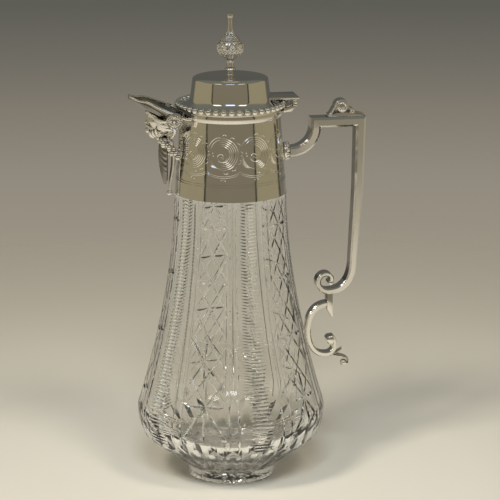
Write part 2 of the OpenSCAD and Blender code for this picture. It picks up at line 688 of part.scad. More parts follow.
module hinge_collar_leaf() {
    low_z = hinge_z - knuckle_r - 0.5;
    color(silver) difference() {
        union() {
            rotate([90, 0, 0]) linear_extrude(hinge_w, center = true)
                polygon([[rim_r - 5, rim_top_z - leaf_t - 1.6], [hinge_x - 2.6, rim_top_z - leaf_t - 1.2],
                         [hinge_x + 0.6, low_z], [hinge_x - knuckle_r, low_z],
                         [bead_ring_r + bead_r + 0.4, rim_top_z - 0.1], [rim_r - 5, rim_top_z - 0.1]]);
            for (side = [-1, 1]) {
                knuckle(side * knuckle_y, outer_w);
                translate([hinge_x - knuckle_r, side * knuckle_y - outer_w / 2, low_z - 0.6])
                    cube([knuckle_r + 0.7, outer_w, hinge_z - low_z + 0.6]);
            }
        }
        collar_form();
        pin_bore();
    }
}

module hinge_pin() {
    color(silver) translate([hinge_x, 0, hinge_z]) rotate([90, 0, 0])
        cylinder(r = pin_r, h = hinge_w + 1.2, center = true, $fn = fine);
}

// Lid

function crown_run(inset) = bez_run([drum_top_r - inset, drum_top_z], [drum_top_r - inset - 0.1, crown_z - 0.9 - inset],
                                    [drum_top_r - 5, crown_z - inset], [finial_foot_r + 1.4, crown_z - inset], 7);
flange_r = bead_ring_r - bead_r - 0.05;
cavetto_run = bez_run([flange_r, flange_z + 0.6], [flange_r - 3.2, flange_z + 0.8],
                      [drum_r + 0.6, drum_z - 2.6], [drum_r, drum_z], 6);

// Solid of the lid's outer shape, which the hinge leaf is scribed to
module lid_form() {
    rotate_extrude($fn = fine) polygon(concat(
        [[0, flange_z], [flange_r, flange_z]], cavetto_run, crown_run(0), [[0, crown_z]]));
}

module lid_dome() {
    color(silver) difference() {
        lid_form();
        rotate_extrude($fn = fine) polygon(concat(
            [[0, flange_z - cut], [bezel_r - sheet - 0.4, flange_z - cut], [bezel_r - sheet - 0.4, flange_z + 0.5]],
            [[drum_r - sheet, drum_z]], crown_run(sheet), [[0, crown_z - sheet]]));
        translate([0, 0, crown_z - 3]) cylinder(r = stud_r + 0.1, h = 6, $fn = fine);
    }
}

module lid_bead_border() {
    color(silver) {
        rotate_extrude($fn = fine) polygon([
            [bezel_r, bead_base_z], [bead_ring_r + 0.5, bead_base_z], [bead_ring_r + 0.5, bead_base_z + 1.2],
            [flange_r, flange_z], [bezel_r, flange_z]]);
        for (i = [0:bead_count - 1])
            rotate(360 / bead_count * (i + 0.5)) translate([bead_ring_r, 0, bead_base_z + bead_r])
                sphere(r = bead_r, $fn = 32);
    }
}

bezel_r = mouth_r - bezel_clearance;
module lid_bezel() {
    color(silver) rotate_extrude($fn = fine) polygon([
        [bezel_r - sheet, flange_z - bezel_h], [bezel_r - 0.3, flange_z - bezel_h],
        [bezel_r, flange_z - bezel_h + 0.3], [bezel_r, flange_z], [bezel_r - sheet, flange_z]]);
}

leaf_z = hinge_z + knuckle_r + 0.3;
module lid_hinge_leaf() {
    color(silver) difference() {
        union() {
            translate([drum_r - 3, -hinge_w / 2 - 0.4, leaf_z])
                cube([hinge_x + 2.2 - drum_r + 3, hinge_w + 0.8, leaf_t]);
            knuckle(0, mid_w);
            translate([hinge_x - knuckle_r, -mid_w / 2, hinge_z])
                cube([2 * knuckle_r, mid_w, leaf_z - hinge_z + 0.2]);
        }
        lid_form();
        pin_bore();
    }
}

// Finial

foot_top = 4.6;
bulb_z = 15.2;
spire_z = 27;
bulb_rows = 18;
bulb_cols = 32;
function bulb_profile(t) = t < 0.62
    ? bez(2.3, bulb_r * 1.02, bulb_r * 1.22, bulb_r * 0.86, t / 0.62)
    : bez(bulb_r * 0.86, bulb_r * 0.84, 3.2, 1.9, (t - 0.62) / 0.38);
module leafy_bulb() {
    low = bulb_z - 6;
    pts = [for (i = [0:bulb_rows], j = [0:bulb_cols - 1])
        let (t = i / bulb_rows, a = 360 * j / bulb_cols,
             leaf = abs(cos(4 * a + (i % 6 < 3 ? 0 : 90))) * (0.09 - 0.05 * t),
             ledge = t > 0.6 && t < 0.68 ? 0.5 : 0,
             r = bulb_profile(t) * (0.93 + leaf) + ledge)
        [r * cos(a), r * sin(a), crown_z + mix(low, spire_z, t)]];
    polyhedron(pts, [for (f = skin_faces(bulb_rows + 1, bulb_cols)) reversed(f)], convexity = 4);
}

module finial() {
    low = bulb_z - 6;
    tip = crown_z + finial_h;
    color(silver) difference() {
        union() {
            rotate_extrude($fn = fine) polygon(concat(
                [[0, crown_z], [finial_foot_r, crown_z], [finial_foot_r, crown_z + 0.8]],
                tail(bez_run([finial_foot_r, crown_z + 0.8], [2.4, crown_z + 1.2], [4.4, crown_z + 3.4],
                             [2.6, crown_z + foot_top], 6)),
                tail(bez_run([2.6, crown_z + foot_top], [2, crown_z + foot_top + 1], [2, crown_z + low - 1],
                             [2.5, crown_z + low + 0.3], 4)),
                [[0, crown_z + low + 0.3]]));
            leafy_bulb();
            rotate_extrude($fn = fine) polygon(concat(
                [[0, crown_z + spire_z - 1], [2, crown_z + spire_z - 1]],
                tail(bez_run([2, crown_z + spire_z - 1], [1.2, crown_z + spire_z + 3], [1.1, tip - 4],
                             [1.6, tip - 1.8], 5)),
                tail(bez_run([1.6, tip - 1.8], [1.6, tip - 0.6], [0.9, tip], [0, tip], 4))));
        }
        translate([0, 0, crown_z - 1]) cylinder(r = stud_r, h = stud_grip + 1, $fn = fine);
    }
}

washer_z = crown_z - sheet - washer_t;
module finial_stud() {
    color(silver) translate([0, 0, washer_z - nut_t - 0.8])
        cylinder(r = stud_r - 0.02, h = crown_z + stud_grip - washer_z + nut_t + 0.6, $fn = fine);
}

module finial_washer() {
    color(silver) translate([0, 0, washer_z]) difference() {
        cylinder(r = nut_r + 0.8, h = washer_t, $fn = fine);
        translate([0, 0, -1]) cylinder(r = stud_r + 0.1, h = washer_t + 2, $fn = fine);
    }
}

module finial_nut() {
    color(silver) translate([0, 0, washer_z - nut_t]) difference() {
        cylinder(r = nut_r, h = nut_t, $fn = 6);
        translate([0, 0, -1]) cylinder(r = stud_r, h = nut_t + 2, $fn = fine);
    }
}

glass_body();
neck_cement();
collar_band();
collar_rim();
spout_lip();
mask_head();
beard_pendant();
grape_bunch_near();
grape_bunch_far();
handle_ferrule();
handle_arm();
handle_grip();
handle_lower_scroll();
handle_leaf();
thumb_scroll();
hinge_collar_leaf();
hinge_pin();
lid_dome();
lid_bead_border();
lid_bezel();
lid_hinge_leaf();
finial();
finial_stud();
finial_washer();
finial_nut();
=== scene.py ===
# A claret jug: a cut-glass body in a silver-plated mount, with a mask spout, a strap
# handle and a hinged lid. The origin is the centre of the foot and the handle is at +X.
from contextlib import contextmanager
from math import cos, degrees, exp, log, pi, radians, sin, sqrt

import bmesh
import bpy
from mathutils import Matrix, Vector


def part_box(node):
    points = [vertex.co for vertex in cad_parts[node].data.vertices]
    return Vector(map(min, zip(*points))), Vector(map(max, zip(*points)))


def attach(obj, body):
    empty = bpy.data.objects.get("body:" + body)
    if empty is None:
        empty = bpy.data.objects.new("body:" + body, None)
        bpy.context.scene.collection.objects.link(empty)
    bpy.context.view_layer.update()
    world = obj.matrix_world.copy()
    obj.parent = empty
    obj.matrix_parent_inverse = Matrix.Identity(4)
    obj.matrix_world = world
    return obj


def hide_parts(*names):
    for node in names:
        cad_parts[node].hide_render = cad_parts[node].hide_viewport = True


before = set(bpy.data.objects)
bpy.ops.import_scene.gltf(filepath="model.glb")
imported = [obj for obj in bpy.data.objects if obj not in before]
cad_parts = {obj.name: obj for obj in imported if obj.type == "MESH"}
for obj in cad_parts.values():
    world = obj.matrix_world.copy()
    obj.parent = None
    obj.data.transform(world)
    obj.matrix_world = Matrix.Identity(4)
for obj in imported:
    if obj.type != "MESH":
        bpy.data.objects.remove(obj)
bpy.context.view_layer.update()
mm = 0.001


# The camera looks down at the jug from its left front, with a long lens. Colours are shown
# as they are, with no film look.
camera_place = Vector((-0.2605, -1.4772, 0.520))
camera_aim = Vector((0.1761, 0.9538, -0.2432))
camera = bpy.data.objects.new("camera", bpy.data.cameras.new("camera"))
bpy.context.scene.collection.objects.link(camera)
camera.location = camera_place
camera.rotation_euler = camera_aim.to_track_quat("-Z", "Y").to_euler()
camera.data.lens = 179.4
camera.data.sensor_width = 36
camera.data.clip_start = 0.01
bpy.context.scene.camera = camera
bpy.context.scene.view_settings.view_transform = "Standard"


# A finish is one material, put together from sockets. Sums and products of sockets are
# written as plain expressions, and each of them adds its Math node.
class Wire:
    def __init__(self, finish, socket):
        self.finish, self.socket = finish, socket

    def math(self, operation, *others):
        return self.finish.node("Math", {"operation": operation}, (self, *others))

    def __add__(self, other):
        return self.math("ADD", other)

    def __sub__(self, other):
        return self.math("SUBTRACT", other)

    def __rsub__(self, other):
        return self.finish.node("Math", {"operation": "SUBTRACT"}, (other, self))

    def __mul__(self, other):
        return self.math("MULTIPLY", other)

    def __truediv__(self, other):
        return self.math("DIVIDE", other)

    def __rtruediv__(self, other):
        return self.finish.node("Math", {"operation": "DIVIDE"}, (other, self))

    def __pow__(self, other):
        return self.math("POWER", other)

    __radd__, __rmul__ = __add__, __mul__


class Finish:
    """A material, or the world, with its node tree."""

    def __init__(self, name, owner=None):
        self.owner = owner or bpy.data.materials.new(name)
        self.owner.use_nodes = True
        self.tree = self.owner.node_tree
        self.tree.nodes.clear()

    def node(self, kind, settings=None, values=(), out=0):
        """Adds a node: its settings first, then the values or links of its sockets."""
        node = self.tree.nodes.new("ShaderNode" + kind)
        for name, value in (settings or {}).items():
            if name == "stops":
                ramp = node.color_ramp.elements
                ramp.remove(ramp[1])
                ramp[0].position = value[0][0]
                ramp[0].color = (*value[0][1], 1)
                for place, colour in value[1:]:
                    ramp.new(place).color = (*colour, 1)
            else:
                setattr(node, name, value)
        for name, value in values.items() if isinstance(values, dict) else enumerate(values):
            if isinstance(value, Wire):
                self.tree.links.new(value.socket, node.inputs[name])
            elif value is not None:
                socket = node.inputs[name]
                socket.default_value = (*value, 1) if socket.type == "RGBA" and len(value) == 3 else value
        return Wire(self, node.outputs[out])

    def blend(self, share, low, high):
        """A colour between two others."""
        return self.node("Mix", {"data_type": "RGBA"}, {0: share, 6: low, 7: high}, out=2)

    def step(self, value, low, high):
        """0 below low and 1 above high, with a soft edge between them."""
        return self.node("MapRange", {"interpolation_type": "SMOOTHSTEP"}, (value, low, high, 0.0, 1.0))

    def noise(self, scale, detail):
        """A cloudy pattern that stays with the piece."""
        place = self.node("TexCoord", {}, (), out=3)
        return self.node("TexNoise", {}, {"Vector": place, "Scale": scale, "Detail": detail})

    def bump(self, strength, distance, height):
        """The normal of a surface that is rough by a height."""
        return self.node("Bump", {}, {"Strength": strength, "Distance": distance, "Height": height})

    def surface(self, shader):
        """Links a shader to the output, and returns the material."""
        kind = "OutputWorld" if isinstance(self.owner, bpy.types.World) else "OutputMaterial"
        self.tree.links.new(shader.socket, self.tree.nodes.new("ShaderNode" + kind).inputs[0])
        return self.owner


# The studio is a pale floor that fades into a backdrop, lit by a cool window over the
# camera and two warm lamps. The polished silver also mirrors cream panels at both sides.
# The floor and backdrop are pale near the jug and darker further off. This is a painted pool of light: the fall of the
# lamps' light is in their colours.
backdrop_tones = [  # the sine of the angle below the horizon, and the backdrop's colour there
    (0.32, (0.530, 0.495, 0.415)), (0.30, (0.515, 0.479, 0.402)), (0.262, (0.400, 0.365, 0.297)),
    (0.239, (0.345, 0.315, 0.254)), (0.216, (0.290, 0.262, 0.214)), (0.192, (0.232, 0.207, 0.168)),
    (0.169, (0.163, 0.153, 0.128)), (0.147, (0.112, 0.110, 0.094)), (0.0, (0.095, 0.095, 0.084))]
deepest = backdrop_tones[0][0]


def backdrop_ramp(finish, down):
    """The backdrop's colour at the sine of an angle below the horizon: pale low down near the jug and dark towards the
    horizon, a painted fall of light.
    """
    stops = [(1 - low / deepest, colour) for low, colour in backdrop_tones]
    return finish.node("ValToRGB", {"stops": stops}, (1 - down / deepest,))


floor_reach, floor_z = 1.1, -0.2 * mm
bpy.ops.object.select_all(action="DESELECT")
bpy.ops.mesh.primitive_circle_add(vertices=96, radius=floor_reach, fill_type="NGON")
floor = bpy.context.object
floor.name = "floor"
floor.location.z = floor_z
cloth = Finish("studio_floor")
place = cloth.node("TexCoord", {}, (), out=3)
away = cloth.node("VectorMath", {"operation": "LENGTH"}, (place,), out=1)
camera_away = 1.5
# The floor takes the backdrop's colour where the camera sees it, so the painted pool of light lies round the jug.
floor_down = camera_place.z / ((away + camera_away) ** 2 + camera_place.z ** 2).math("SQRT")
floor_shade = cloth.node("BsdfPrincipled", {}, {
    "Base Color": backdrop_ramp(cloth, floor_down), "Roughness": 0.9, "Specular IOR Level": 0.1})
floor_end = cloth.node("BsdfTransparent")
floor.data.materials.append(cloth.surface(cloth.node("MixShader", {}, (
    cloth.step(away, 0.30, 0.95), floor_shade, floor_end))))

world = bpy.data.worlds.new("studio")
bpy.context.scene.world = world
room = Finish("studio", world)
look = room.node("TexCoord", {}, (), out=0)
toward_camera = Vector((camera_place.x, camera_place.y, 0)).normalized()


def turned_by(angle, axis="Z"):
    """A turn by an angle in degrees."""
    return Matrix.Rotation(radians(angle), 3, axis)


def way_to(turn, rise):
    """The way to a lamp: degrees round from the camera, and degrees up."""
    return turned_by(turn) @ toward_camera * cos(radians(rise)) + Vector((0, 0, sin(radians(rise))))


def share_of(way):
    """How far a look into the room goes along a way."""
    return room.node("VectorMath", {"operation": "DOT_PRODUCT"}, (look, way), out=1)


to_front = share_of(toward_camera)
height = room.node("SeparateXYZ", {}, (look,), out=2)
level = (1 - height * height).math("MAXIMUM", 0.0001).math("SQRT")
front = to_front / level
behind = backdrop_ramp(room, 0 - height)
panel = room.step(front, -0.62, -0.56) * (1 - room.step(front, 0.54, 0.57))
frame_line = room.step(front, 0.555, 0.57) * (1 - room.step(front, 0.605, 0.62))
tone = room.blend(panel, (0.195, 0.173, 0.124), (0.285, 0.252, 0.162))
tone = room.blend(frame_line, tone, (0.03, 0.027, 0.022))
tone = room.blend(room.step(height, -0.40, -0.12), (0.50, 0.465, 0.39), tone)
tone = room.blend(room.step(front, -0.70, -0.60), behind, tone)
tone = room.blend(room.step(height, 0.40, 0.66), tone, (0.15, 0.152, 0.128))
glow = room.blend(room.step(height, -0.5, 0.5), (0.50, 0.465, 0.385), (0.36, 0.335, 0.27))
window_rows = [  # degrees round from the camera, degrees up, half width, half height, colour
    (0, 42, 0.19, 0.13, (1.1, 1.35, 1.9)),
    (-44, 44, 0.16, 0.11, (1.6, 1.5, 1.35)),
    (42, 45, 0.16, 0.11, (1.6, 1.5, 1.35)),
]
soft = 0.02  # half of the width of a window's edge
for turn, rise, width, tall, colour in window_rows:
    toward, across = way_to(turn, rise), turned_by(turn + 90) @ toward_camera
    patch = room.step(share_of(toward), 0.0, 0.01)
    for way, half in ((across, width), (toward.cross(across), tall)):
        patch = patch * (1 - room.step(share_of(way).math("ABSOLUTE"), half - soft, half + soft))
    tone = room.blend(patch, tone, colour)
seen = room.node("LightPath", {}, ())
through = Wire(room, seen.socket.node.outputs["Is Transmission Ray"])
lit, glowing, backdrop = (room.node("Background", {}, (colour, 1.0)) for colour in (tone, glow, behind))
room.surface(room.node("MixShader", {}, (
    seen, room.node("MixShader", {}, (through, lit, glowing)), backdrop)))

lamp_rows = [  # name, degrees round from the camera, degrees up, width, watts, colour
    ("window", 0, 42, 0.55, 24, (0.80, 0.90, 1.0)),
    ("lamp_left", -38, 48, 0.42, 27, (1.0, 0.95, 0.88)),
    ("lamp_right", 36, 50, 0.42, 15, (1.0, 0.95, 0.88)),
]
aim_point, lamp_distance, lamp_tall = Vector((0, 0, 0.14)), 1.9, 0.42
for name, turn, rise, width, watts, colour in lamp_rows:
    data = bpy.data.lights.new(name, "AREA")
    data.shape, data.size, data.size_y = "RECTANGLE", width, lamp_tall
    data.energy, data.color = watts, colour
    lamp = bpy.data.objects.new(name, data)
    bpy.context.scene.collection.objects.link(lamp)
    lamp.visible_glossy = False
    lamp.location = aim_point + lamp_distance * way_to(turn, rise)
    lamp.rotation_euler = (aim_point - lamp.location).to_track_quat("-Z", "Y").to_euler()


# Silver plate: a warm white metal, polished bright, with faint swirls from years of
# polishing and a little dullness where the cloth doesn't reach.
# A darker copy of the plate carries painted shade, for parts that lie in shadow.
def plate(name, rough=0.09, patina=0.0, scale=1.0, painted_shade=0.0):
    """A silver finish. patina darkens the hollows of castings, and the last value darkens all of it with painted shade,
    for parts that lie in shadow.
    """
    silver = Finish(name)
    cloud, swirl = silver.noise(45 * scale, 4), silver.noise(900 * scale, 3)
    colour = silver.blend(silver.step(cloud, 0.35, 0.7), (0.93, 0.905, 0.86), (0.90, 0.865, 0.80))
    if patina:
        hollow = silver.node("AmbientOcclusion", {"samples": 6}, {"Distance": 2.2 * mm}, out=1)
        dark = 1 - silver.step(hollow, 0.25, 0.85)
        colour = silver.blend(dark * patina, colour, (0.16, 0.135, 0.095))
    # Painted shade: the whole piece is darkened, unevenly through the cloudy pattern, for parts that lie in shadow.
    if painted_shade:
        grime_and_shade = silver.step(cloud, 0.1, 0.9) * 0.3 + painted_shade
        colour = silver.blend(grime_and_shade, colour, (0.05, 0.047, 0.042))
    return silver.surface(silver.node("BsdfPrincipled", {}, {
        "Base Color": colour, "Metallic": 1.0, "Roughness": rough * 0.6 + cloud * (rough * 0.8),
        "Normal": silver.bump(0.02, 0.2 * mm, swirl)}))


polished = plate("polished_plate")
cast_plate = plate("cast_plate", rough=0.16, patina=0.8, scale=2.0)
# Painted shade: this copy is darkened all over for the shadowed spout trough, pendant leaf and inner faces of the grip.
shaded_plate = plate("painted_shade_plate", rough=0.2, patina=0.8, scale=2.0, painted_shade=0.55)


# Glass body: one thick blown and cut piece. It stands on a ground ring, swells to a belly
# and draws in to a neck that is bedded in the collar.
shoulder_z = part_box("collar_band")[0].z
collar_top_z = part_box("collar_band")[1].z
rim_top_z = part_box("collar_rim")[1].z
belly_r, belly_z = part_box("glass_body")[1].x, 46.3 * mm
shoulder_r, corner_r, corner_z = 34.8 * mm, 54.4 * mm, 27 * mm
foot_r, foot_h, foot_hollow = 27.8 * mm, 7 * mm, 1.5 * mm
glass_wall, base_thick, neck_wall = 4.5 * mm, 12 * mm, 3.8 * mm
neck_top_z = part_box("glass_body")[1].z
neck_r, neck_root_r = 28.2 * mm, 32.3 * mm


def bezier(a, b, c, d, steps):
    """Points along a Bezier curve from a to d."""
    a, b, c, d = Vector(a), Vector(b), Vector(c), Vector(d)
    return [(1 - t) ** 3 * a + 3 * (1 - t) ** 2 * t * b + 3 * (1 - t) * t * t * c + t ** 3 * d
            for t in (i / steps for i in range(steps + 1))]


@contextmanager
def mesh_of(piece):
    """The mesh of a piece, open for changes."""
    bm = bmesh.new()
    bm.from_mesh(piece.data)
    yield bm
    bm.to_mesh(piece.data)
    bm.free()


def alone(piece):
    """Makes a piece the only one selected, and the active one."""
    bpy.ops.object.select_all(action="DESELECT")
    piece.select_set(True)
    bpy.context.view_layer.objects.active = piece


def outline_ring(name, outline, closed=True):
    """A ring of edges in the XZ plane along an outline of (r, z) points."""
    bpy.ops.object.select_all(action="DESELECT")
    bpy.ops.mesh.primitive_circle_add(vertices=len(outline), radius=1)
    piece = bpy.context.object
    piece.name = piece.data.name = name
    for vertex, (r, z) in zip(piece.data.vertices, outline):
        vertex.co = (r, 0, z)
    if not closed:
        ends = {0, len(outline) - 1}
        with mesh_of(piece) as bm:
            bmesh.ops.delete(bm, geom=[e for e in bm.edges if {v.index for v in e.verts} == ends],
                             context="EDGES")
    return piece


def edit(*steps):
    """Takes steps of edit mode, each on the whole mesh, and turns the faces outward."""
    bpy.ops.object.mode_set(mode="EDIT")
    for step in (*steps, lambda: bpy.ops.mesh.normals_make_consistent(inside=False)):
        bpy.ops.mesh.select_all(action="SELECT")
        step()
    bpy.ops.object.mode_set(mode="OBJECT")


def smooth(crease):
    """Smooths the active piece, but not over edges sharper than an angle in degrees."""
    bpy.ops.object.shade_smooth_by_angle(angle=radians(crease))


weld = 1e-7  # points nearer than this are one point


def lathe(name, outline, steps=128, closed=True, crease=32, turn=360):
    """Spins an outline of (r, z) points round the axis of the jug."""
    piece = outline_ring(name, outline, closed)
    edit(lambda: bpy.ops.mesh.spin(steps=steps, angle=-radians(turn), center=(0, 0, 0), axis=(0, 0, 1)),
         lambda: bpy.ops.mesh.remove_doubles(threshold=weld),
         lambda: bpy.ops.mesh.dissolve_degenerate(threshold=weld))
    smooth(crease)
    return piece


def dress(piece, material, body, node):
    """Gives a finished piece its finish, its body and the CAD node that it stands for."""
    if material:
        piece.data.materials.clear()
        piece.data.materials.append(material)
    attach(piece, body)
    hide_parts(node)


side_run = bezier((shoulder_r, shoulder_z), (shoulder_r, shoulder_z - 43 * mm),
                  (belly_r - 12.5 * mm, belly_z + 40 * mm), (belly_r, belly_z), 60)
turn_run = bezier((belly_r, belly_z), (belly_r + 1 * mm, belly_z - 4.3 * mm),
                  (corner_r + 3.2 * mm, corner_z + 5 * mm), (corner_r, corner_z), 14)
glass_side = side_run + turn_run[1:]
bowl_run = bezier((belly_r - glass_wall, belly_z), (belly_r - glass_wall + 0.5 * mm, corner_z + 4 * mm),
                  (foot_r + 6 * mm, base_thick), (0, base_thick), 24)
glass_outline = (
    [(0, foot_hollow), (foot_r - 6 * mm, foot_hollow), (foot_r - 4 * mm, 0), (foot_r - 0.6 * mm, 0),
     (foot_r, 0.6 * mm), (foot_r, foot_h)]
    + [tuple(p) for p in reversed(glass_side)]
    + [(neck_root_r, shoulder_z), (neck_r, neck_top_z - 0.8 * mm), (neck_r - 0.8 * mm, neck_top_z),
       (neck_r - neck_wall + 0.8 * mm, neck_top_z), (neck_r - neck_wall, neck_top_z - 0.8 * mm)]
    + [(p.x - glass_wall, p.y) for p in side_run] + [tuple(p) for p in bowl_run[1:]])
pattern_turn, pattern_count = -80.5, 5
sector = 360 / pattern_count
sector_from = radians(pattern_turn + 12 - sector)
lift = 0.5 * mm


def glass_at(turn, z):
    """A point of the glass side, and the outward normal there. turn is from a ladder's middle."""
    for high, low in zip(glass_side, glass_side[1:]):
        if low.y <= z:
            break
    run = (high - low).normalized()
    spot = low.lerp(high, (z - low.y) / (high.y - low.y))
    swing = turned_by(pattern_turn + turn)
    return swing @ Vector((spot.x, 0, z)), swing @ Vector((run.y, 0, -run.x)) * (-1 if run.y < 0 else 1)


def glass_line(start, end, steps):
    """Points and normals along a cut from one (turn, z) to another."""
    start, end = Vector(start), Vector(end)
    return [glass_at(*start.lerp(end, i / steps)) for i in range(steps + 1)]


clear_end = 0.06  # a cut ends this share of its depth outside the piece


def groove(path, deep, half, tail=0.5):
    """What a mitre wheel takes out along a path. Its ends run out over their share, the tail."""
    rows = []
    for i, (point, normal) in enumerate(path):
        along = (path[min(i + 1, len(path) - 1)][0] - path[max(i - 1, 0)][0]).normalized()
        across = normal.cross(along).normalized()
        share = i / (len(path) - 1)
        fade = min(1, min(share, 1 - share) / tail)
        sink = deep * ((1 + clear_end) * (1 - (1 - fade) ** 2) - clear_end)
        reach = across * half * (sink + lift) / deep
        rows.append((point + normal * lift + reach, point - normal * sink, point + normal * lift - reach))
    return rows


def cut_out(piece, cuts):
    """Takes a list of grooves out of a piece. Each is a closed three-sided bar."""
    corners, faces = [], []
    for rows in cuts:
        for i in range(len(rows)):
            a = len(corners)
            corners += rows[i]
            if i == 0:
                faces.append((a, a + 1, a + 2))
            else:
                faces += [(a - 3 + k, a - 3 + (k + 1) % 3, a + (k + 1) % 3, a + k) for k in range(3)]
        faces.append((a + 2, a + 1, a))
    data = bpy.data.meshes.new("wheel")
    data.from_pydata([tuple(c) for c in corners], [], faces)
    wheel = bpy.data.objects.new("wheel", data)
    bpy.context.scene.collection.objects.link(wheel)
    with mesh_of(wheel) as bm:
        bmesh.ops.recalc_face_normals(bm, faces=bm.faces)
    subtract(piece, wheel)


def subtract(piece, wheel):
    """Takes one mesh out of another, and deletes it."""
    alone(piece)
    cut = piece.modifiers.new("cut", "BOOLEAN")
    cut.operation, cut.solver, cut.object, cut.use_self = "DIFFERENCE", "EXACT", wheel, True
    bpy.ops.object.modifier_apply(modifier=cut.name)
    bpy.data.objects.remove(wheel)


# The pattern repeats five times: a ladder of short rungs, and a panel of crossed cuts.
# One sector of the glass is cut, and five of them make the body.
tiers = [198.4 * mm, 165.3 * mm, 132.3 * mm, 96.3 * mm, 58.5 * mm]
panel, panel_half = -36, 14.6
cuts = []
rung_top, rung_low, rung_count = 179.6 * mm, 30.5 * mm, 70
for i in range(rung_count):
    z = rung_top + (rung_low - rung_top) * i / (rung_count - 1)
    half_turn = 9.4 - 3.2 * ((z - rung_low) / (rung_top - rung_low)) ** 0.7
    cuts.append(groove(glass_line((-half_turn, z), (half_turn, z), 8), 0.5 * mm, 0.92 * mm, 0.45))
for high, low in zip(tiers, tiers[1:]):
    middle = (high + low) / 2
    for way in (-1, 1):
        edge = panel + way * panel_half
        for start, end in (((edge, high), (panel - way * panel_half, low)), ((edge, middle), (panel, low)),
                           ((panel, high), (edge, middle))):
            if start[1] > shoulder_z - 1 * mm:
                if end[1] > shoulder_z - 2 * mm:
                    continue
                share = (start[1] - shoulder_z + 1.5 * mm) / (start[1] - end[1])
                start = tuple(Vector(start).lerp(Vector(end), share))
            cuts.append(groove(glass_line(start, end, 16), 0.42 * mm, 0.62 * mm, 0.25))
    if low > tiers[-1]:
        for way in (-1, 1):
            cuts.append(groove(glass_line((panel + way * 0.2, low), (panel + way * panel_half, low), 10),
                               0.8 * mm, 1.35 * mm, 0.5))
star_z = tiers[-1]
for turn, z in ((0, 74 * mm), (0, 35.5 * mm), (-12.5, star_z), (12.5, star_z),
                (-13.5, 38 * mm), (13.5, 38 * mm)):
    cuts.append(groove(glass_line((panel + 0.04 * turn, star_z + 0.04 * (z - star_z)), (panel + turn, z), 12),
                       0.7 * mm, 1.1 * mm, 0.4))
for way in (-1, 1):
    for lean in range(5):
        spread = radians(20 + 32 * lean)
        fan = (panel + way * panel_half, 37 * mm)
        tip = (fan[0] + way * -4.5 * sin(spread), fan[1] + -4.5 * mm * cos(spread))
        cuts.append(groove(glass_line(fan, tip, 6), 0.35 * mm, 0.5 * mm, 0.4))
    for offset, deep in ((15.6, 0.35), (21.6, 0.45)):
        turn = panel + way * offset
        cuts.append(groove(glass_line((turn, shoulder_z - 1 * mm), (turn, 31 * mm), 48),
                           deep * mm, deep * 1.4 * mm, 0.03))

flute_count, flute_depth = 30, 2 * mm
corner_at, foot_at = Vector((corner_r, 0, corner_z)), Vector((foot_r, 0, foot_h))
fall = (foot_at - corner_at).normalized()
outward = Vector((-fall.z, 0, fall.x))
for i in range(flute_count // pattern_count):
    swing = Matrix.Rotation(sector_from + radians((i + 0.5) * 360 / flute_count), 3, "Z")
    rows = []
    for share in (-0.22, 0.0, 0.25, 0.5, 0.75, 0.95):
        spot = corner_at.lerp(foot_at, share)
        sink = flute_depth * (1 - share / 0.97)
        wide = 0.92 * pi * corner_r / flute_count * (sink + lift * 3) / flute_depth
        rows.append(tuple(swing @ p for p in (
            spot + outward * lift * 3 + Vector((0, wide, 0)), spot - outward * sink,
            spot + outward * lift * 3 - Vector((0, wide, 0)))))
    cuts.append(rows)
star_rays = 20
for i in range(star_rays // pattern_count):
    swing = Matrix.Rotation(sector_from + radians((i + 0.5) * 360 / star_rays), 3, "Z")
    path = [(swing @ Vector((r * mm, 0, foot_hollow)), Vector((0, 0, -1))) for r in (2, 5, 9, 13, 17, 20, 23)]
    cuts.append(groove(path, 0.7 * mm, 1.5 * mm, 0.5))


def cut_in_sectors(name, outline, steps, count, start, cuts, closed=True, crease=24):
    """A turned piece whose cuts repeat round it: one sector is cut, then copied round."""
    turn = 2 * pi / count
    piece = lathe(name, outline, steps, closed=closed, turn=360 / count)
    piece.data.transform(Matrix.Rotation(start, 4, "Z"))
    with mesh_of(piece) as bm:
        for angle in (start, start + turn):
            swing = Matrix.Rotation(angle, 3, "Z")
            ends = [swing @ Vector((r, 0, z)) for r, z in outline]
            bm.faces.new([min(bm.verts, key=lambda v: (v.co - end).length_squared) for end in ends])
        bmesh.ops.recalc_face_normals(bm, faces=bm.faces)
    cut_out(piece, cuts)
    with mesh_of(piece) as bm:
        caps = []
        for angle in (start, start + turn):
            square = Vector((-sin(angle), cos(angle), 0))
            caps += [f for f in bm.faces if abs(f.normal.dot(square)) > 0.999
                     and all(abs(v.co.dot(square)) < 1e-6 for v in f.verts)]
        bmesh.ops.delete(bm, geom=caps, context="FACES")
        bmesh.ops.spin(bm, geom=bm.verts[:] + bm.edges[:] + bm.faces[:], cent=(0, 0, 0), axis=(0, 0, 1),
                       angle=2 * pi - turn, steps=count - 1, use_duplicate=True)
        bmesh.ops.remove_doubles(bm, verts=bm.verts, dist=2e-6)
        bmesh.ops.dissolve_degenerate(bm, edges=bm.edges, dist=weld)
    alone(piece)
    smooth(crease)
    return piece


glass_body = cut_in_sectors("glass_body", glass_outline, 36, pattern_count, sector_from, cuts, closed=False)


def clear_glass():
    """Clear lead glass, faintly grey, with a soft polish on the cuts."""
    crystal = Finish("cut_glass")
    return crystal.surface(crystal.node("BsdfPrincipled", {}, {
        "Base Color": (0.985, 0.985, 0.975), "Roughness": 0.01, "IOR": 1.54,
        "Transmission Weight": 1.0, "Normal": crystal.bump(0.03, 0.6 * mm, crystal.noise(60, 2))}))


slim = 0.9955  # takes the swell of the belly back inside the build's box
glass_body.data.transform(Matrix.Diagonal((slim, slim, 1, 1)))
dress(glass_body, clear_glass(), "jug", "glass_body")


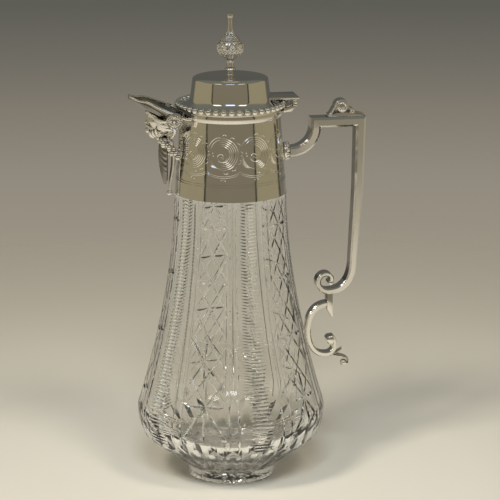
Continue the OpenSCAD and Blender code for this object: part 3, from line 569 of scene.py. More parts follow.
# Collar: a cone of sheet, raised and soldered, bedded on the glass neck. Ten acanthus
# scrolls are bright-cut round it with a graver, above a pair of turned lines.
collar_r, collar_top_r, sheet = 34.5 * mm, 30.9 * mm, 1 * mm
line_z, line_gap, line_depth = shoulder_z + 9.3 * mm, 1.4 * mm, 0.3 * mm
collar_slope = (collar_top_r - collar_r) / (collar_top_z - shoulder_z)
spout_reach, spout_half, spout_wall = 62.8 * mm, 16 * mm, 1.6 * mm
tip_z, throat_z = collar_top_z + 14.1 * mm, rim_top_z - 10.5 * mm


def collar_line(z):
    """Outer radius of the collar at a height."""
    return collar_r + collar_slope * (z - shoulder_z)


def on_collar(turn, z):
    """A point of the collar's outside and its normal, turned round from the handle."""
    swing = turned_by(turn)
    return swing @ Vector((collar_line(z), 0, z)), (swing @ Vector((1, 0, -collar_slope))).normalized()


def arc(centre, r0, r1, a0, a1, steps):
    """Points along an arc, or along a spiral if its two radii differ."""
    turns = [(i / steps, radians(a0 + (a1 - a0) * i / steps)) for i in range(steps + 1)]
    return [Vector(centre) + (r0 + (r1 - r0) * t) * Vector((cos(a), sin(a))) for t, a in turns]


def skin(name, rings, crease=32):
    """A skin over rings of points, filled at both ends."""
    across, along = len(rings[0]), len(rings)
    bpy.ops.object.select_all(action="DESELECT")
    bpy.ops.mesh.primitive_grid_add(x_subdivisions=across, y_subdivisions=along - 1)
    piece = bpy.context.object
    piece.name = piece.data.name = name
    for i, vertex in enumerate(piece.data.vertices):
        vertex.co = rings[i // (across + 1)][i % (across + 1) % across]
    edit(lambda: bpy.ops.mesh.remove_doubles(threshold=weld), lambda: bpy.ops.mesh.fill_holes(sides=0))
    smooth(crease)
    return piece


def trough_section(body, wall=0.0, sides=24):
    """Section of the spout: (y, z) points down one side of the trough and up the other."""
    half = spout_half + (0.7 * mm - spout_half) * body ** 2.1
    ends = Vector((rim_top_z - 0.4 * mm, throat_z)), Vector((tip_z, tip_z - 0.8 * mm))
    pulls = Vector((rim_top_z - 3.5 * mm, throat_z + 1 * mm)), Vector((tip_z - 0.5 * mm, tip_z - 6 * mm))
    t, s = body, 1 - body
    brim, keel = s ** 3 * ends[0] + 3 * s * s * t * pulls[0] + 3 * s * t * t * pulls[1] + t ** 3 * ends[1]
    brim -= (3.0 * exp(-(t / 0.2) ** 2) + 1.4 * exp(-((t - 0.86) / 0.1) ** 2)) * mm
    turns = [pi / 2 - pi * j / sides for j in range(sides + 1)]
    return [((half + wall) * (1 + 0.2 * min(1, t / 0.25) * s ** 0.5 * sin(a) ** 6) * sin(a),
             brim - (brim - keel + wall) * cos(a)) for a in turns]


def cut_throat(piece):
    """Opens the collar or its rim into the spout."""
    section = [(spout_half, rim_top_z + 3 * mm)] + trough_section(0) + [(-spout_half, rim_top_z + 3 * mm)]
    subtract(piece, skin("throat", [[Vector((x, y, z)) for y, z in section]
                                    for x in (-spout_reach, -15 * mm)]))


motif_count, engraving_z, engraving_turn = 10, 210.5 * mm, -103
motif = []  # strokes of one scroll: points in mm, and half of their width
for r in (9.8, 8.6, 7.5, 6.4, 5.3):
    motif.append((arc((-3.2 - 0.12 * (9.8 - r), 0.4), r, r * 0.97, 104, -98, 20), 0.30))
motif.append((arc((-3.8, -1.4), 3.9, 0.6, 60, -470, 26), 0.28))
for i in range(7):
    lean = radians(84 - 27 * i)
    motif.append((arc((-3.2 + 10.9 * cos(lean), 0.4 + 10.6 * sin(lean)), 1.6, 1.3,
                      degrees(lean) - 105, degrees(lean) + 95, 8), 0.22))
motif.append((bezier((-3.4, 10.4), (-7.2, 11.4), (-11.2, 8), (-12.2, 3.4), 12), 0.28))
motif.append((bezier((-3.8, 9.0), (-7.6, 9.4), (-9.8, 6.4), (-10.6, 2.4), 12), 0.22))
for i in range(4):
    motif.append((bezier((-6.2 + 1.1 * i, -7.8 - 0.3 * i), (-8.4, -8.6), (-10.4, -7.2 + i),
                         (-11.6, -4 + 1.5 * i), 8), 0.2))
for low in (-14.2, -15.2):
    motif.append((bezier((-13.0, low + 4.6), (-9.2, low), (3.8, low), (7.8, low + 4.6), 18), 0.22))
for lean in (-40, 0, 40):
    way = Vector((sin(radians(lean)), -cos(radians(lean))))
    motif.append(([Vector((-2.6, -14.0)) + way * (0.5 + 0.5 * i) for i in range(5)], 0.22))
for x, y in ((-3.8, -1.4), (-8.6, -0.6), (-9.0, 1.0)):
    motif.append(([Vector((x - 0.5 + 0.25 * i, y)) for i in range(5)], 0.34))
strokes = []
for turn in (engraving_turn - 360 / motif_count, engraving_turn, engraving_turn + 360 / motif_count):
    for points, half in motif:
        path = [on_collar(turn + degrees(p[0] * mm / collar_line(engraving_z)), engraving_z + p[1] * mm)
                for p in points]
        strokes.append(groove(path, half * 0.6 * mm, half * mm, 0.4))
band_outline = [(collar_r, shoulder_z)] + [
    (collar_line(z) - deep, z) for base in (line_z, line_z + line_gap)
    for z, deep in ((base - line_depth, 0), (base, line_depth), (base + line_depth, 0))]
band_outline += [(collar_top_r, collar_top_z), (collar_top_r - sheet, collar_top_z),
                 (collar_r - sheet, shoulder_z)]
collar_band = cut_in_sectors("collar_band", band_outline, 16, motif_count,
                             radians(engraving_turn - 180 / motif_count), strokes)
cut_throat(collar_band)
dress(collar_band, polished, "jug", "collar_band")


# Rim: a moulding of solid plate, drawn round and soldered to the top of the collar. It is
# notched for the spout, and the lid's beads come down on it.
rim_r, mouth_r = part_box("collar_rim")[1].y, 29.4 * mm
rim_h = rim_top_z - collar_top_z
collar_rim = lathe("collar_rim", [
    (mouth_r, collar_top_z), (collar_top_r, collar_top_z), (rim_r - 0.25 * mm, collar_top_z + rim_h * 0.2),
    (rim_r, collar_top_z + rim_h * 0.5), (rim_r - 0.2 * mm, rim_top_z - rim_h * 0.2),
    (rim_r - 0.7 * mm, rim_top_z), (mouth_r + 0.4 * mm, rim_top_z), (mouth_r, rim_top_z - 0.4 * mm)], 160)
cut_throat(collar_rim)
dress(collar_rim, polished, "jug", "collar_rim")


# Spout: a cast trough that draws in and rises to a pointed lip, with a rolled brim, a band
# of ribs under the brim and a netted rosette on each side.
def tube(name, path, radius, sides=12, squash=1.0, start=None, crease=40):
    """A round or oval bar along a path. radius is one value, or one for each point."""
    radii = radius if isinstance(radius, list) else [radius] * len(path)
    rings, across = [], start or Vector((0, 0, 1))
    for i, point in enumerate(path):
        along = (path[min(i + 1, len(path) - 1)] - path[max(i - 1, 0)]).normalized()
        across = (across - along * across.dot(along)).normalized()
        other = along.cross(across)
        rings.append([point + radii[i] * (across * cos(a) * squash + other * sin(a))
                      for a in (2 * pi * k / sides for k in range(sides))])
    return skin(name, rings, crease)


def joined(name, pieces, crease=None):
    """Makes one piece of several."""
    alone(pieces[0])
    for piece in pieces:
        piece.select_set(True)
    bpy.ops.object.join()
    pieces[0].name = pieces[0].data.name = name
    if crease:
        smooth(crease)
    return pieces[0]


def placed(piece, rotation, spot):
    """Turns a piece made at the origin and moves it to its spot, in its mesh."""
    piece.data.transform(Matrix.Translation(spot) @ rotation.to_4x4())
    return piece


def against_rim(y, z):
    """Distance along X from the axis to the collar or its rim, at a place of the spout's root."""
    outside = rim_r if z > collar_top_z else collar_line(z)
    return sqrt(max(outside ** 2 - y ** 2, 0)) - 0.25 * mm


def spout_point(body, y, z, root):
    """Carries a point of the spout's section from the collar out towards the tip."""
    near = against_rim(*root)
    return Vector((-(near + (spout_reach - near) * body), y, z))


trough_steps, trough_sides, rib_count = 44, 48, 5
rings, brims = [], []
outer_root, inner_root = trough_section(0, spout_wall, trough_sides), trough_section(0, 0, trough_sides)
for i in range(trough_steps + 1):
    body = i / trough_steps
    outer, inner = trough_section(body, spout_wall, trough_sides), trough_section(body, 0, trough_sides)
    middle, ring = (Vector(outer[0]) + Vector(outer[-1])) / 2, []
    for j, (y, z) in enumerate(outer):
        down = min(j, trough_sides - j) / trough_sides * 2  # 0 at the brim, 1 at the keel
        rib = 0.32 * mm * sin(min(body, 0.15) / 0.15 * pi / 2) * (
            cos(2 * pi * rib_count * down / 0.5) - 1) * (down < 0.5) * (1 - body ** 3)
        out = (Vector((y, z)) - middle).normalized() * rib
        ring.append(spout_point(body, y + out.x, z + out.y, outer_root[j]))
    ring += [spout_point(body, y, z, inner_root[j]) for j, (y, z) in reversed(list(enumerate(inner)))]
    rings.append(ring)
    brims.append([(ring[k] + ring[2 * trough_sides + 1 - k]) / 2 for k in (0, trough_sides)])
trough = skin("spout_lip", rings, 50)
brim_path = [pair[0] for pair in brims] + [pair[1] for pair in reversed(brims)]
brim_radii = [(1.0 - 0.35 * i / trough_steps) * mm for i in range(trough_steps + 1)]
brim = tube("brim", brim_path, brim_radii + brim_radii[::-1], 10)

rosette_r = 5.0 * mm
rosettes = []
for side in (-1, 1):
    turns, rows = 72, []
    for r, h in ((0, 1.5), (0.12, 1.45), (0.2, 1.05), (0.3, 1.15), (0.4, 1.0), (0.5, 1.15), (0.6, 1.0),
                 (0.7, 1.1), (0.78, 0.85), (0.82, 0.9), (0.87, 1.5), (0.93, 1.7), (0.99, 1.35),
                 (1.02, 0.8), (1.02, -1.6)):
        net = 0.16 if 0.12 < r < 0.8 else 0.0
        rows.append([Vector((rosette_r * r * cos(a), rosette_r * r * sin(a),
                             (h + net * cos(18 * a) - net) * mm))
                     for a in (2 * pi * k / turns for k in range(turns))])
    disc = skin("rosette", rows, 50)
    rosettes.append(placed(disc, turned_by(side * 12) @ turned_by(-side * 104, "X"),
                           Vector((-37.4 * mm, side * 18.0 * mm, rim_top_z - 4.4 * mm))))
# Painted shade: the trough takes the darkened plate, for the shadow that fills the spout.
trough.data.materials.append(shaded_plate)
for piece in [brim] + rosettes:
    piece.data.materials.append(cast_plate)
spout_lip = joined("spout_lip", [trough, brim] + rosettes)
tip_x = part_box("spout_lip")[0].x + 0.02 * mm
for vertex in spout_lip.data.vertices:
    vertex.co.x = max(vertex.co.x, tip_x)
dress(spout_lip, None, "jug", "spout_lip")


# Mask: a cast bearded head of the vine god's kind under the spout, chased after casting. The
# face is a plain one on common proportions, and its hair is swept back to the rosettes.
mask_z = collar_top_z - 2.3 * mm
head_x = collar_line(mask_z) + 11.2 * mm


def mound(y, z, at_y, at_z, wide, tall):
    """A soft round swelling, 1 at its middle."""
    return exp(-((y - at_y) / wide) ** 2 - ((z - at_z) / tall) ** 2)


def face_relief(y, z):
    """How far the face stands out from the plain egg, in mm. y is to the side and z is up."""
    a = abs(y)
    bridge = max(0.0, min(1.0, (3.6 - z) / 4.1)) / (1 + exp((-1.25 - z) * 7))
    out = 2.3 * bridge * exp(-(y / (0.62 + 0.42 * bridge)) ** 2)
    out += 0.7 * mound(a, z, 1.05, -0.85, 0.5, 0.5)
    out += 0.5 * mound(a, z, 2.6, 4.15, 1.7, 0.5) - 1.15 * mound(a, z, 2.75, 2.6, 1.5, 0.95)
    out += 0.85 * mound(a, z, 2.8, 2.5, 0.95, 0.72) + 0.32 * mound(a, z, 2.8, 3.08, 1.2, 0.2)
    out += 0.2 * mound(a, z, 2.8, 1.9, 1.1, 0.18) + 0.45 * mound(a, z, 4.1, 0.4, 1.6, 1.3)
    out += 0.75 * mound(y, z, 0, -2.6, 1.45, 0.36) - 0.55 * mound(y, z, 0, -3.1, 1.7, 0.16)
    out += 0.7 * mound(y, z, 0, -3.65, 1.2, 0.38) - 0.3 * mound(y, z, 0, -4.5, 1.3, 0.4)
    return out + 0.8 * mound(y, z, 0, -6.0, 1.6, 0.9)


head_rows, head_cols, rings = 120, 160, []
for i in range(head_rows + 1):
    z = -10.2 + 22.0 * i / head_rows
    share = (z - 2) / (10.0 if z > 2 else 12.3)
    deep, wide = 8.9 * (1 - abs(share) ** 2.4) ** 0.45, 7.3 * (1 - share ** 2) ** 0.55
    ring = []
    for k in range(head_cols):
        y, ahead = wide * sin(2 * pi * k / head_cols), cos(2 * pi * k / head_cols)
        x = deep * ahead + face_relief(y, z) * min(1.0, ahead * 3) if ahead > 0 else 10.4 / 8.9 * deep * ahead
        ring.append(Vector((x, y, z)) * mm)
    rings.append(ring)
head = [skin("mask_head", rings, 180)]
tresses = [  # four points of each lock in mm, ahead of the head's middle, aside and up; its thickness
    ((9.7, 0.2, 5.4), (9.6, 2.5, 7.0), (8.2, 5.0, 6.0), (6.4, 7.2, 3.6), 1.1),
    ((8.4, 2.6, 5.2), (7.6, 5.0, 6.2), (4.6, 8.4, 3.4), (1.6, 10.2, 1.6), 1.2),
    ((6.8, 5.2, 3.4), (5.4, 7.6, 3.2), (2.4, 11.6, 0.6), (-0.8, 14.6, 2.4), 1.25),
    ((5.4, 6.4, 1.4), (3.8, 8.8, 0.8), (0.8, 10.6, -2.0), (-3.0, 13.8, -1.0), 1.2),
    ((4.2, 6.8, -0.6), (2.6, 8.2, -1.8), (-1.2, 8.6, -4.6), (-5.2, 9.6, -4.0), 1.15),
    ((4.6, 6.3, -2.4), (5.6, 6.6, -4.4), (4.6, 5.6, -6.4), (2.8, 6.4, -7.6), 1.0),
    ((6.2, 4.7, -4.2), (7.2, 4.6, -6.0), (6.0, 3.8, -7.8), (4.4, 4.8, -9.0), 1.0),
    ((7.4, 2.8, -5.2), (8.4, 2.6, -7.2), (7.0, 1.9, -8.8), (5.2, 2.5, -9.9), 1.0),
    ((7.9, 0.8, -6.6), (8.4, 0.8, -8.2), (6.6, 0.8, -9.6), (4.8, 0.9, -10.0), 0.9),
    ((10.0, 0.3, -1.9), (9.9, 1.6, -2.0), (8.8, 3.0, -2.9), (7.4, 4.3, -4.4), 0.6)]


def swell(count, low, high, full):
    """Radii that grow from low to high and fall back. full is the share of the way at the high."""
    return [low + (high - low) * sin(pi * (i / (count - 1)) ** (log(0.5) / log(full)))
            for i in range(count)]


def bead(radius, spot, segments=24, rings=16, swing=Matrix.Identity(3)):
    """A round bead at a spot."""
    bpy.ops.object.select_all(action="DESELECT")
    bpy.ops.mesh.primitive_uv_sphere_add(segments=segments, ring_count=rings, radius=radius)
    return placed(bpy.context.object, swing, spot)


for *corners, thick in tresses:
    for side in (-1, 1):
        a, b, c, d = (Vector((x, side * y, z)) * mm for x, y, z in corners)
        for strand in (-1, 0, 1):
            fan = Vector((0, side * 0.25, 0.75)) * (strand * thick * mm)
            path = bezier(a + fan * 0.3, b + fan * 0.8, c + fan * 0.9, d + fan * 0.3, 12)
            width = thick * (0.62 if strand else 0.72) * mm
            head.append(tube("tress", path, swell(13, width * 0.35, width, 0.4), 8))
curls = [(8.3, 0, -5.9, 1.5)] + [(x, side * y, z, 1.2) for side in (-1, 1)
                                 for x, y, z in ((-3.0, 13.4, -1.4), (-5.2, 9.8, -4.2), (2.9, 6.6, -7.4))]
across_y = Vector((0, 1, 0))
for x, y, z, size in curls:
    path = [Vector((x + p.x, y + 0.25 * p.y * (y > 0) - 0.25 * p.y * (y < 0), z + p.y)) * mm
            for p in arc((0, 0), size, 0.2, 200, -250, 26)]
    head.append(tube("curl", path, [(0.36 * size - 0.008 * j) * mm for j in range(27)], 10, start=across_y))
head.append(bead(1.9 * mm, Vector((8.6, 0, -5.4)) * mm))
mask_head = joined("mask_head", head)
alone(mask_head)
fuse = mask_head.modifiers.new("fuse", "REMESH")
fuse.mode, fuse.voxel_size, fuse.use_smooth_shade = "VOXEL", 0.18 * mm, True
bpy.ops.object.modifier_apply(modifier=fuse.name)
mask_head.data.transform(Matrix.Translation((-head_x, 0, mask_z)) @ Matrix.Rotation(pi, 4, "Z"))


def under_trough(x, y):
    """Height of the underside of the spout over a place."""
    body = min(max((-x - rim_r) / (spout_reach - rim_r), 0), 1)
    outer = trough_section(body, spout_wall)
    brim_at, low = outer[0][1], outer[len(outer) // 2][1]
    return brim_at - (brim_at - low) * sqrt(max(1 - (y / outer[0][0]) ** 2, 0))


for vertex in mask_head.data.vertices:
    x, y, z = vertex.co
    vertex.co.z = min(z, under_trough(x, y) + 0.5 * mm)
    if x > -collar_line(z):
        vertex.co.x = -collar_line(z)
dress(mask_head, cast_plate, "jug", "mask_head")


# Pendant: a ribbed leaf under the beard, cast in one with a ribbon and a drop behind it. A short strut pins it to the
# collar. The leaf is darkened with painted shade, for the shadow under the beard.
pendant_top, pendant_l = mask_z - 10 * mm, 29.5 * mm
leaf_rows, leaf_cols, rings = 96, 40, []
for i in range(leaf_rows + 1):
    t = i / leaf_rows
    half = 4.4 * mm * sin(pi * (0.2 + 0.785 * t)) ** 0.8
    spine, ring = -(head_x - 1.6 * mm) - 1 * mm * t * (t - 1), []
    for k in range(leaf_cols):
        aside, ahead = sin(2 * pi * k / leaf_cols), cos(2 * pi * k / leaf_cols)
        rib = 0.5 + 0.5 * cos(2 * pi * (t * 9 - abs(aside) * 2.2))
        deep = ahead * (0.3 * mm + 4.0 * mm * half / (4.4 * mm) if ahead > 0 else min(1.6 * mm, half))
        deep -= 1.0 * mm * rib * min(1, half / (1.2 * mm)) * max(ahead, 0) ** 0.5 * abs(aside) ** 0.5
        edge = half * (1 - 0.08 * rib * aside ** 6) * aside
        ring.append(Vector((spine - deep, edge, pendant_top - pendant_l * t)))
    rings.append(ring)
leaf = skin("leaf", rings, 60)
drop = Vector((-head_x + 4.4 * mm, 0, pendant_top - pendant_l - 5 * mm))
strut_z = pendant_top - 0.35 * pendant_l
ribbon_run = bezier((drop.x + 2.4 * mm, strut_z), (drop.x + 2.8 * mm, strut_z - 9 * mm),
                    (drop.x, drop.z + 9 * mm), (drop.x, drop.z), 20)
ribbon = tube("ribbon", [Vector((p.x, 0, p.y)) for p in ribbon_run],
              [(2.3 - 0.06 * i) * mm for i in range(21)], 16, squash=0.7, start=Vector((1, 0, 0)))
ball = bead(1.8 * mm, drop - Vector((0, 0, 0.6 * mm)))
strut_run = [Vector((x, 0, strut_z))
             for x in (-head_x + 0.6 * mm, -36 * mm, -collar_line(strut_z) + 0.3 * mm)]
strut = tube("strut", strut_run, [1.5 * mm, 1.1 * mm, 1.6 * mm], 16)
# The leaf takes the darkened plate: painted shade.
for piece, metal in ((leaf, shaded_plate), (ribbon, cast_plate), (ball, cast_plate), (strut, cast_plate)):
    piece.data.materials.append(metal)
beard_pendant = joined("beard_pendant", [leaf, ribbon, ball, strut], 60)
dress(beard_pendant, None, "jug", "beard_pendant")


# Grapes: two bunches of the same casting beside the chin. Each is soldered to a stem that
# hangs from its rosette.
grape_r, grape_step = 1.7 * mm, 2.38 * mm
for name, side in (("grape_bunch_near", -1), ("grape_bunch_far", 1)):
    top_z, bunch = pendant_top - 1.5 * mm, []
    spots = [Vector((-collar_line(top_z - i * grape_step) - grape_r - (5.2 - 1.3 * i) * mm - j * grape_step,
                     side * (5.8 + 1.1 * i) * mm, top_z - i * grape_step))
             for i, count in enumerate((3, 3, 2, 2, 1)) for j in range(count)]
    spots += [spot + Vector((0.9 * mm, side * 1.5 * mm, -0.9 * mm)) for spot in spots[:6:2]]
    bunch += [bead(grape_r, spot, rings=14) for spot in spots]
    root = Vector((-collar_line(top_z) - grape_r - 4.6 * mm, side * 5.8 * mm, top_z))
    path = [root + Vector((x, side * y, z)) * mm for x, y, z in (
        (0, 0, 0), (1, 0.8, 2), (1.9, 2, 4), (2.4, 3.2, 6), (2.2, 4.2, 8), (1.8, 5, 9.5))]
    bunch.append(tube("stem", path, [r * mm for r in (0.8, 0.8, 0.9, 1.1, 1.3, 1.2)], 10))
    dress(joined(name, bunch, 60), cast_plate, "jug", name)


# Lid: a raised dome on a hollow-curved flange, with a bezel that drops into the collar and
# a border of soldered beads.
bead_base_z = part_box("lid_bead_border")[0].z
bead_r, bead_ring_r, bead_count = 1.95 * mm, 32.3 * mm, 42
flange_z = bead_base_z + bead_r - 0.25 * mm
crown_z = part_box("lid_dome")[1].z
drum_z, drum_top_z = flange_z + 5 * mm, crown_z - 2.6 * mm
drum_r, drum_top_r = 24.6 * mm, 23.2 * mm
flange_r = bead_ring_r - bead_r - 0.05 * mm
bezel_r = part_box("lid_bezel")[1].x
crown_flat_r, stud_hole_r = 3.8 * mm, 1.6 * mm
cavetto = bezier((flange_r, flange_z + 0.6 * mm), (flange_r - 3.2 * mm, flange_z + 0.8 * mm),
                 (drum_r + 0.6 * mm, drum_z - 2.6 * mm), (drum_r, drum_z), 12)
crown = bezier((drum_top_r, drum_top_z), (drum_top_r - 0.1 * mm, crown_z - 0.9 * mm),
               (drum_top_r - 5 * mm, crown_z), (crown_flat_r, crown_z), 14)
inner_crown = bezier((drum_top_r - sheet, drum_top_z), (drum_top_r - sheet - 0.1 * mm, crown_z - 1.9 * mm),
                     (drum_top_r - 5 * mm, crown_z - sheet), (crown_flat_r, crown_z - sheet), 14)
lid_dome = lathe("lid_dome", (
    [(bezel_r - sheet - 0.4 * mm, flange_z), (flange_r, flange_z)] + [tuple(p) for p in cavetto]
    + [tuple(p) for p in crown] + [(stud_hole_r, crown_z), (stud_hole_r, crown_z - sheet)]
    + [tuple(p) for p in reversed(inner_crown)]
    + [(drum_r - sheet, drum_z), (bezel_r - sheet - 0.4 * mm, flange_z + 0.5 * mm)]), 160)
dress(lid_dome, polished, "lid", "lid_dome")

bead_border = [lathe("lid_bead_border", [
    (bezel_r, bead_base_z), (bead_ring_r + 0.5 * mm, bead_base_z),
    (bead_ring_r + 0.5 * mm, bead_base_z + 1.2 * mm), (flange_r, flange_z), (bezel_r, flange_z)], 96)]
for i in range(bead_count):
    swing = turned_by((i + 0.5) * 360 / bead_count)
    bead_border.append(bead(bead_r, swing @ Vector((bead_ring_r, 0, bead_base_z + bead_r)), 20, 12, swing))
dress(joined("lid_bead_border", bead_border, 40), polished, "lid", "lid_bead_border")

bezel_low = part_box("lid_bezel")[0].z
lid_bezel = lathe("lid_bezel", [
    (bezel_r - sheet, bezel_low), (bezel_r - 0.3 * mm, bezel_low), (bezel_r, bezel_low + 0.3 * mm),
    (bezel_r, flange_z), (bezel_r - sheet, flange_z), (bezel_r - sheet - 0.15 * mm, bezel_low + 1.2 * mm)])
dress(lid_bezel, polished, "lid", "lid_bezel")


# Hinge: two leaves of plate with turned knuckles, held together by a riveted pin. One leaf is
# soldered under the collar's rim and the other one to the side of the lid's drum.
def prism(name, outline, width, bevel=0.2 * mm):
    """A plate of an outline in the XZ plane, width thick along Y, with its edges eased."""
    piece = outline_ring(name, outline)
    edit(bpy.ops.mesh.edge_face_add,
         lambda: bpy.ops.mesh.extrude_region_move(TRANSFORM_OT_translate={"value": (0, width, 0)}))
    piece.data.transform(Matrix.Translation((0, -width / 2, 0)))
    alone(piece)
    ease = piece.modifiers.new("ease", "BEVEL")
    ease.width, ease.segments, ease.limit_method = bevel, 2, "ANGLE"
    bpy.ops.object.modifier_apply(modifier=ease.name)
    smooth(32)
    return piece


def turned(name, profile, spot, steps=48):
    """A turned piece whose axis lies along Y. profile is half of it: (radius, place along Y)."""
    whole = profile + [(r, -p) for r, p in reversed(profile) if p]
    return placed(lathe(name, whole, steps), turned_by(-90, "X"), spot)


hinge_x, hinge_z = rim_r + 7.2 * mm, rim_top_z + 3.3 * mm
pin_r, bore_r, knuckle_r = 1 * mm, 1.04 * mm, 1.65 * mm
hinge_w, middle_w, leaf_t, play = 19 * mm, 7.4 * mm, 1.2 * mm, 0.15 * mm
end_w = (hinge_w - middle_w) / 2 - play
end_y = middle_w / 2 + play + end_w / 2


def knuckle(y, width):
    """A bored tube of the hinge with eased ends and a turned line near each of them."""
    half, e = width / 2, 0.15 * mm
    profile = [(bore_r, -half), (knuckle_r - e, -half), (knuckle_r, e - half), (knuckle_r, 3 * e - half),
               (knuckle_r - e, 4 * e - half), (knuckle_r, 5 * e - half)]
    return turned("knuckle", profile, Vector((hinge_x, y, hinge_z)))


low_z = hinge_z - knuckle_r - 0.5 * mm
under = [(rim_r - 0.4 * mm, rim_top_z - leaf_t - 1.6 * mm),
         (hinge_x - 2.6 * mm, rim_top_z - leaf_t - 1.2 * mm), (hinge_x + 0.6 * mm, low_z), (hinge_x - knuckle_r, low_z),
         (bead_ring_r + bead_r + 0.4 * mm, rim_top_z - 0.1 * mm), (rim_r - 0.4 * mm, rim_top_z - 0.1 * mm)]
collar_leaf = [prism("hinge_collar_leaf", under, hinge_w)]
for side in (-1, 1):
    block = prism("block", [
        (hinge_x - knuckle_r, low_z - 0.4 * mm), (hinge_x + 0.7 * mm, low_z - 0.4 * mm),
        (hinge_x + 0.7 * mm, hinge_z - 1.3 * mm), (hinge_x - knuckle_r, hinge_z - 0.9 * mm)], end_w, 0.1 * mm)
    collar_leaf += [placed(block, Matrix.Identity(3), end_y * side * across_y),
                    knuckle(side * end_y, end_w)]
hinge_collar_leaf = joined("hinge_collar_leaf", collar_leaf, 32)
dress(hinge_collar_leaf, polished, "jug", "hinge_collar_leaf")

leaf_z = hinge_z + knuckle_r + 0.3 * mm
over = [(drum_r - 1.4 * mm, leaf_z), (hinge_x + 2.2 * mm, leaf_z), (hinge_x + 2.2 * mm, leaf_z + leaf_t),
        (drum_r - 1.6 * mm, leaf_z + leaf_t)]
web = [(hinge_x - knuckle_r, hinge_z + 1.2 * mm), (hinge_x + knuckle_r, hinge_z + 1.2 * mm),
       (hinge_x + knuckle_r, leaf_z + 0.2 * mm), (hinge_x - knuckle_r, leaf_z + 0.2 * mm)]
lid_hinge_leaf = joined("lid_hinge_leaf", [
    prism("lid_hinge_leaf", over, hinge_w + 0.8 * mm, 0.3 * mm),
    prism("web", web, middle_w - 0.2 * mm, 0.1 * mm), knuckle(0, middle_w)], 32)
dress(lid_hinge_leaf, polished, "lid", "lid_hinge_leaf")
pin_half = hinge_w / 2 + 0.6 * mm
head_run = [(0, pin_half), (0.55 * mm, pin_half - 0.05 * mm), (0.9 * mm, pin_half - 0.25 * mm),
            (pin_r, pin_half - 0.5 * mm)]
hinge_pin = turned("hinge_pin", head_run, Vector((hinge_x, 0, hinge_z)))
dress(hinge_pin, polished, "jug", "hinge_pin")


# Handle: a bar with bevelled edges, bent square at the top and forged to scrolls below. It
# springs from a beaded ferrule and carries a knurl for the thumb and a leaf at its foot.
def strap(name, path, thick, width, first=0, last=None, bevel=0.22):
    """A bevelled bar along (x, z) points in mm, drawn from one of them to another."""
    path, rings = [Vector(p) for p in path], []
    runs = [(b - a).normalized() for a, b in zip(path, path[1:])]
    for i in range(first, (len(path) if last is None else last + 1)):
        before, after = runs[max(i - 1, 0)], runs[min(i, len(runs) - 1)]
        middle = (before + after).normalized()
        normal = Vector((-middle.y, middle.x)) / middle.dot(before)
        t, w, c = thick[i] / 2, width[i] / 2, thick[i] * bevel
        rings.append([Vector(((path[i] + normal * a).x, b, (path[i] + normal * a).y)) * mm for a, b in (
            (t, w - c), (t - c, w), (c - t, w), (-t, w - c),
            (-t, c - w), (c - t, -w), (t - c, -w), (t, c - w))])
    return skin(name, rings, 24)


def ramp(low, high, count):
    """Even steps from low to high."""
    return [low + (high - low) * i / (count - 1) for i in range(count)]


def button(name, profile, centre, steps=48):
    """A turned button across the handle. profile is half of it, and centre is (x, z), in mm."""
    return turned(name, [(r * mm, p * mm) for r, p in profile], Vector((centre.x, 0, centre.y)) * mm, steps)


arm_z, top_z = collar_top_z / mm - 23.8, collar_top_z / mm - 2.9
arm_x = collar_line(arm_z * mm) / mm + 4.6
inner_x, outer_x, bar_z = 52.7, 81.0, top_z - 3.1
lower_z, lower_half = 90, 16.8
lower_x = next(a.x for a, b in zip(glass_side, glass_side[1:]) if b.y <= lower_z * mm) / mm + 2.55
stem_x = lower_x + lower_half * 0.92
scroll_c = Vector((stem_x - 3.6, 122))
scroll_base = scroll_c - Vector((0, 6.8))
arm_run = [Vector((arm_x - 0.6, arm_z))] + bezier(
    (arm_x, arm_z), (arm_x + 8.6, arm_z), (inner_x, arm_z + 6.7), (inner_x, arm_z + 15.3), 28)
curl_z = 135
curl_run = bezier((77.3, curl_z), (77.0, curl_z - 12), scroll_base + Vector((11.5, -0.4)), scroll_base, 28)
spiral_run = arc(scroll_c, 6.8, 2.6, -90, -390, 56)[1:]
handle_path = arm_run + [Vector((inner_x, bar_z)), Vector((outer_x, bar_z)),
                         Vector((80, (bar_z + curl_z) / 2))] + curl_run + spiral_run
arm_end, curl_n, spiral_n = len(arm_run) + 1, len(curl_run), len(spiral_run)
thicks = [6.2] * (arm_end + 1) + [5.56] + ramp(4.6, 3.3, curl_n) + ramp(3.3, 2.2, spiral_n)
widths = ramp(10, 12, len(arm_run)) + [12, 12, 12] + ramp(10.5, 9, curl_n) + ramp(9, 8, spiral_n)
handle_arm = strap("handle_arm", handle_path, thicks, widths, 0, arm_end)
dress(handle_arm, polished, "jug", "handle_arm")

knob = button("eye", [(0, 4.6), (0.8, 4.5), (1.3, 4.2), (1.7, 3.9), (1.7, 0)], handle_path[-1], 32)
stem_top = scroll_base.y - 0.85
stem = prism("stem", [((stem_x + x) * mm, (stem_top + z) * mm) for x, z in (
    (-3.7, 0), (0, 0.2), (0.3, -17), (-3.7, -10.5))], 8 * mm, 0.7 * mm)
handle_grip = joined("handle_grip", [
    strap("handle_grip", handle_path, thicks, widths, arm_end), knob, stem], 24)
dress(handle_grip, polished, "jug", "handle_grip")
handle_grip.data.materials.append(shaded_plate)  # painted shade on the grip's inner faces, which face the jug
# Faces that point towards the jug get the painted shade.
for face in handle_grip.data.polygons:
    face.material_index = int(face.normal.x < -0.8)


def lower(x, z):
    """A step in the lower scroll, as shares of half its height."""
    return lower_half * Vector((x, z))


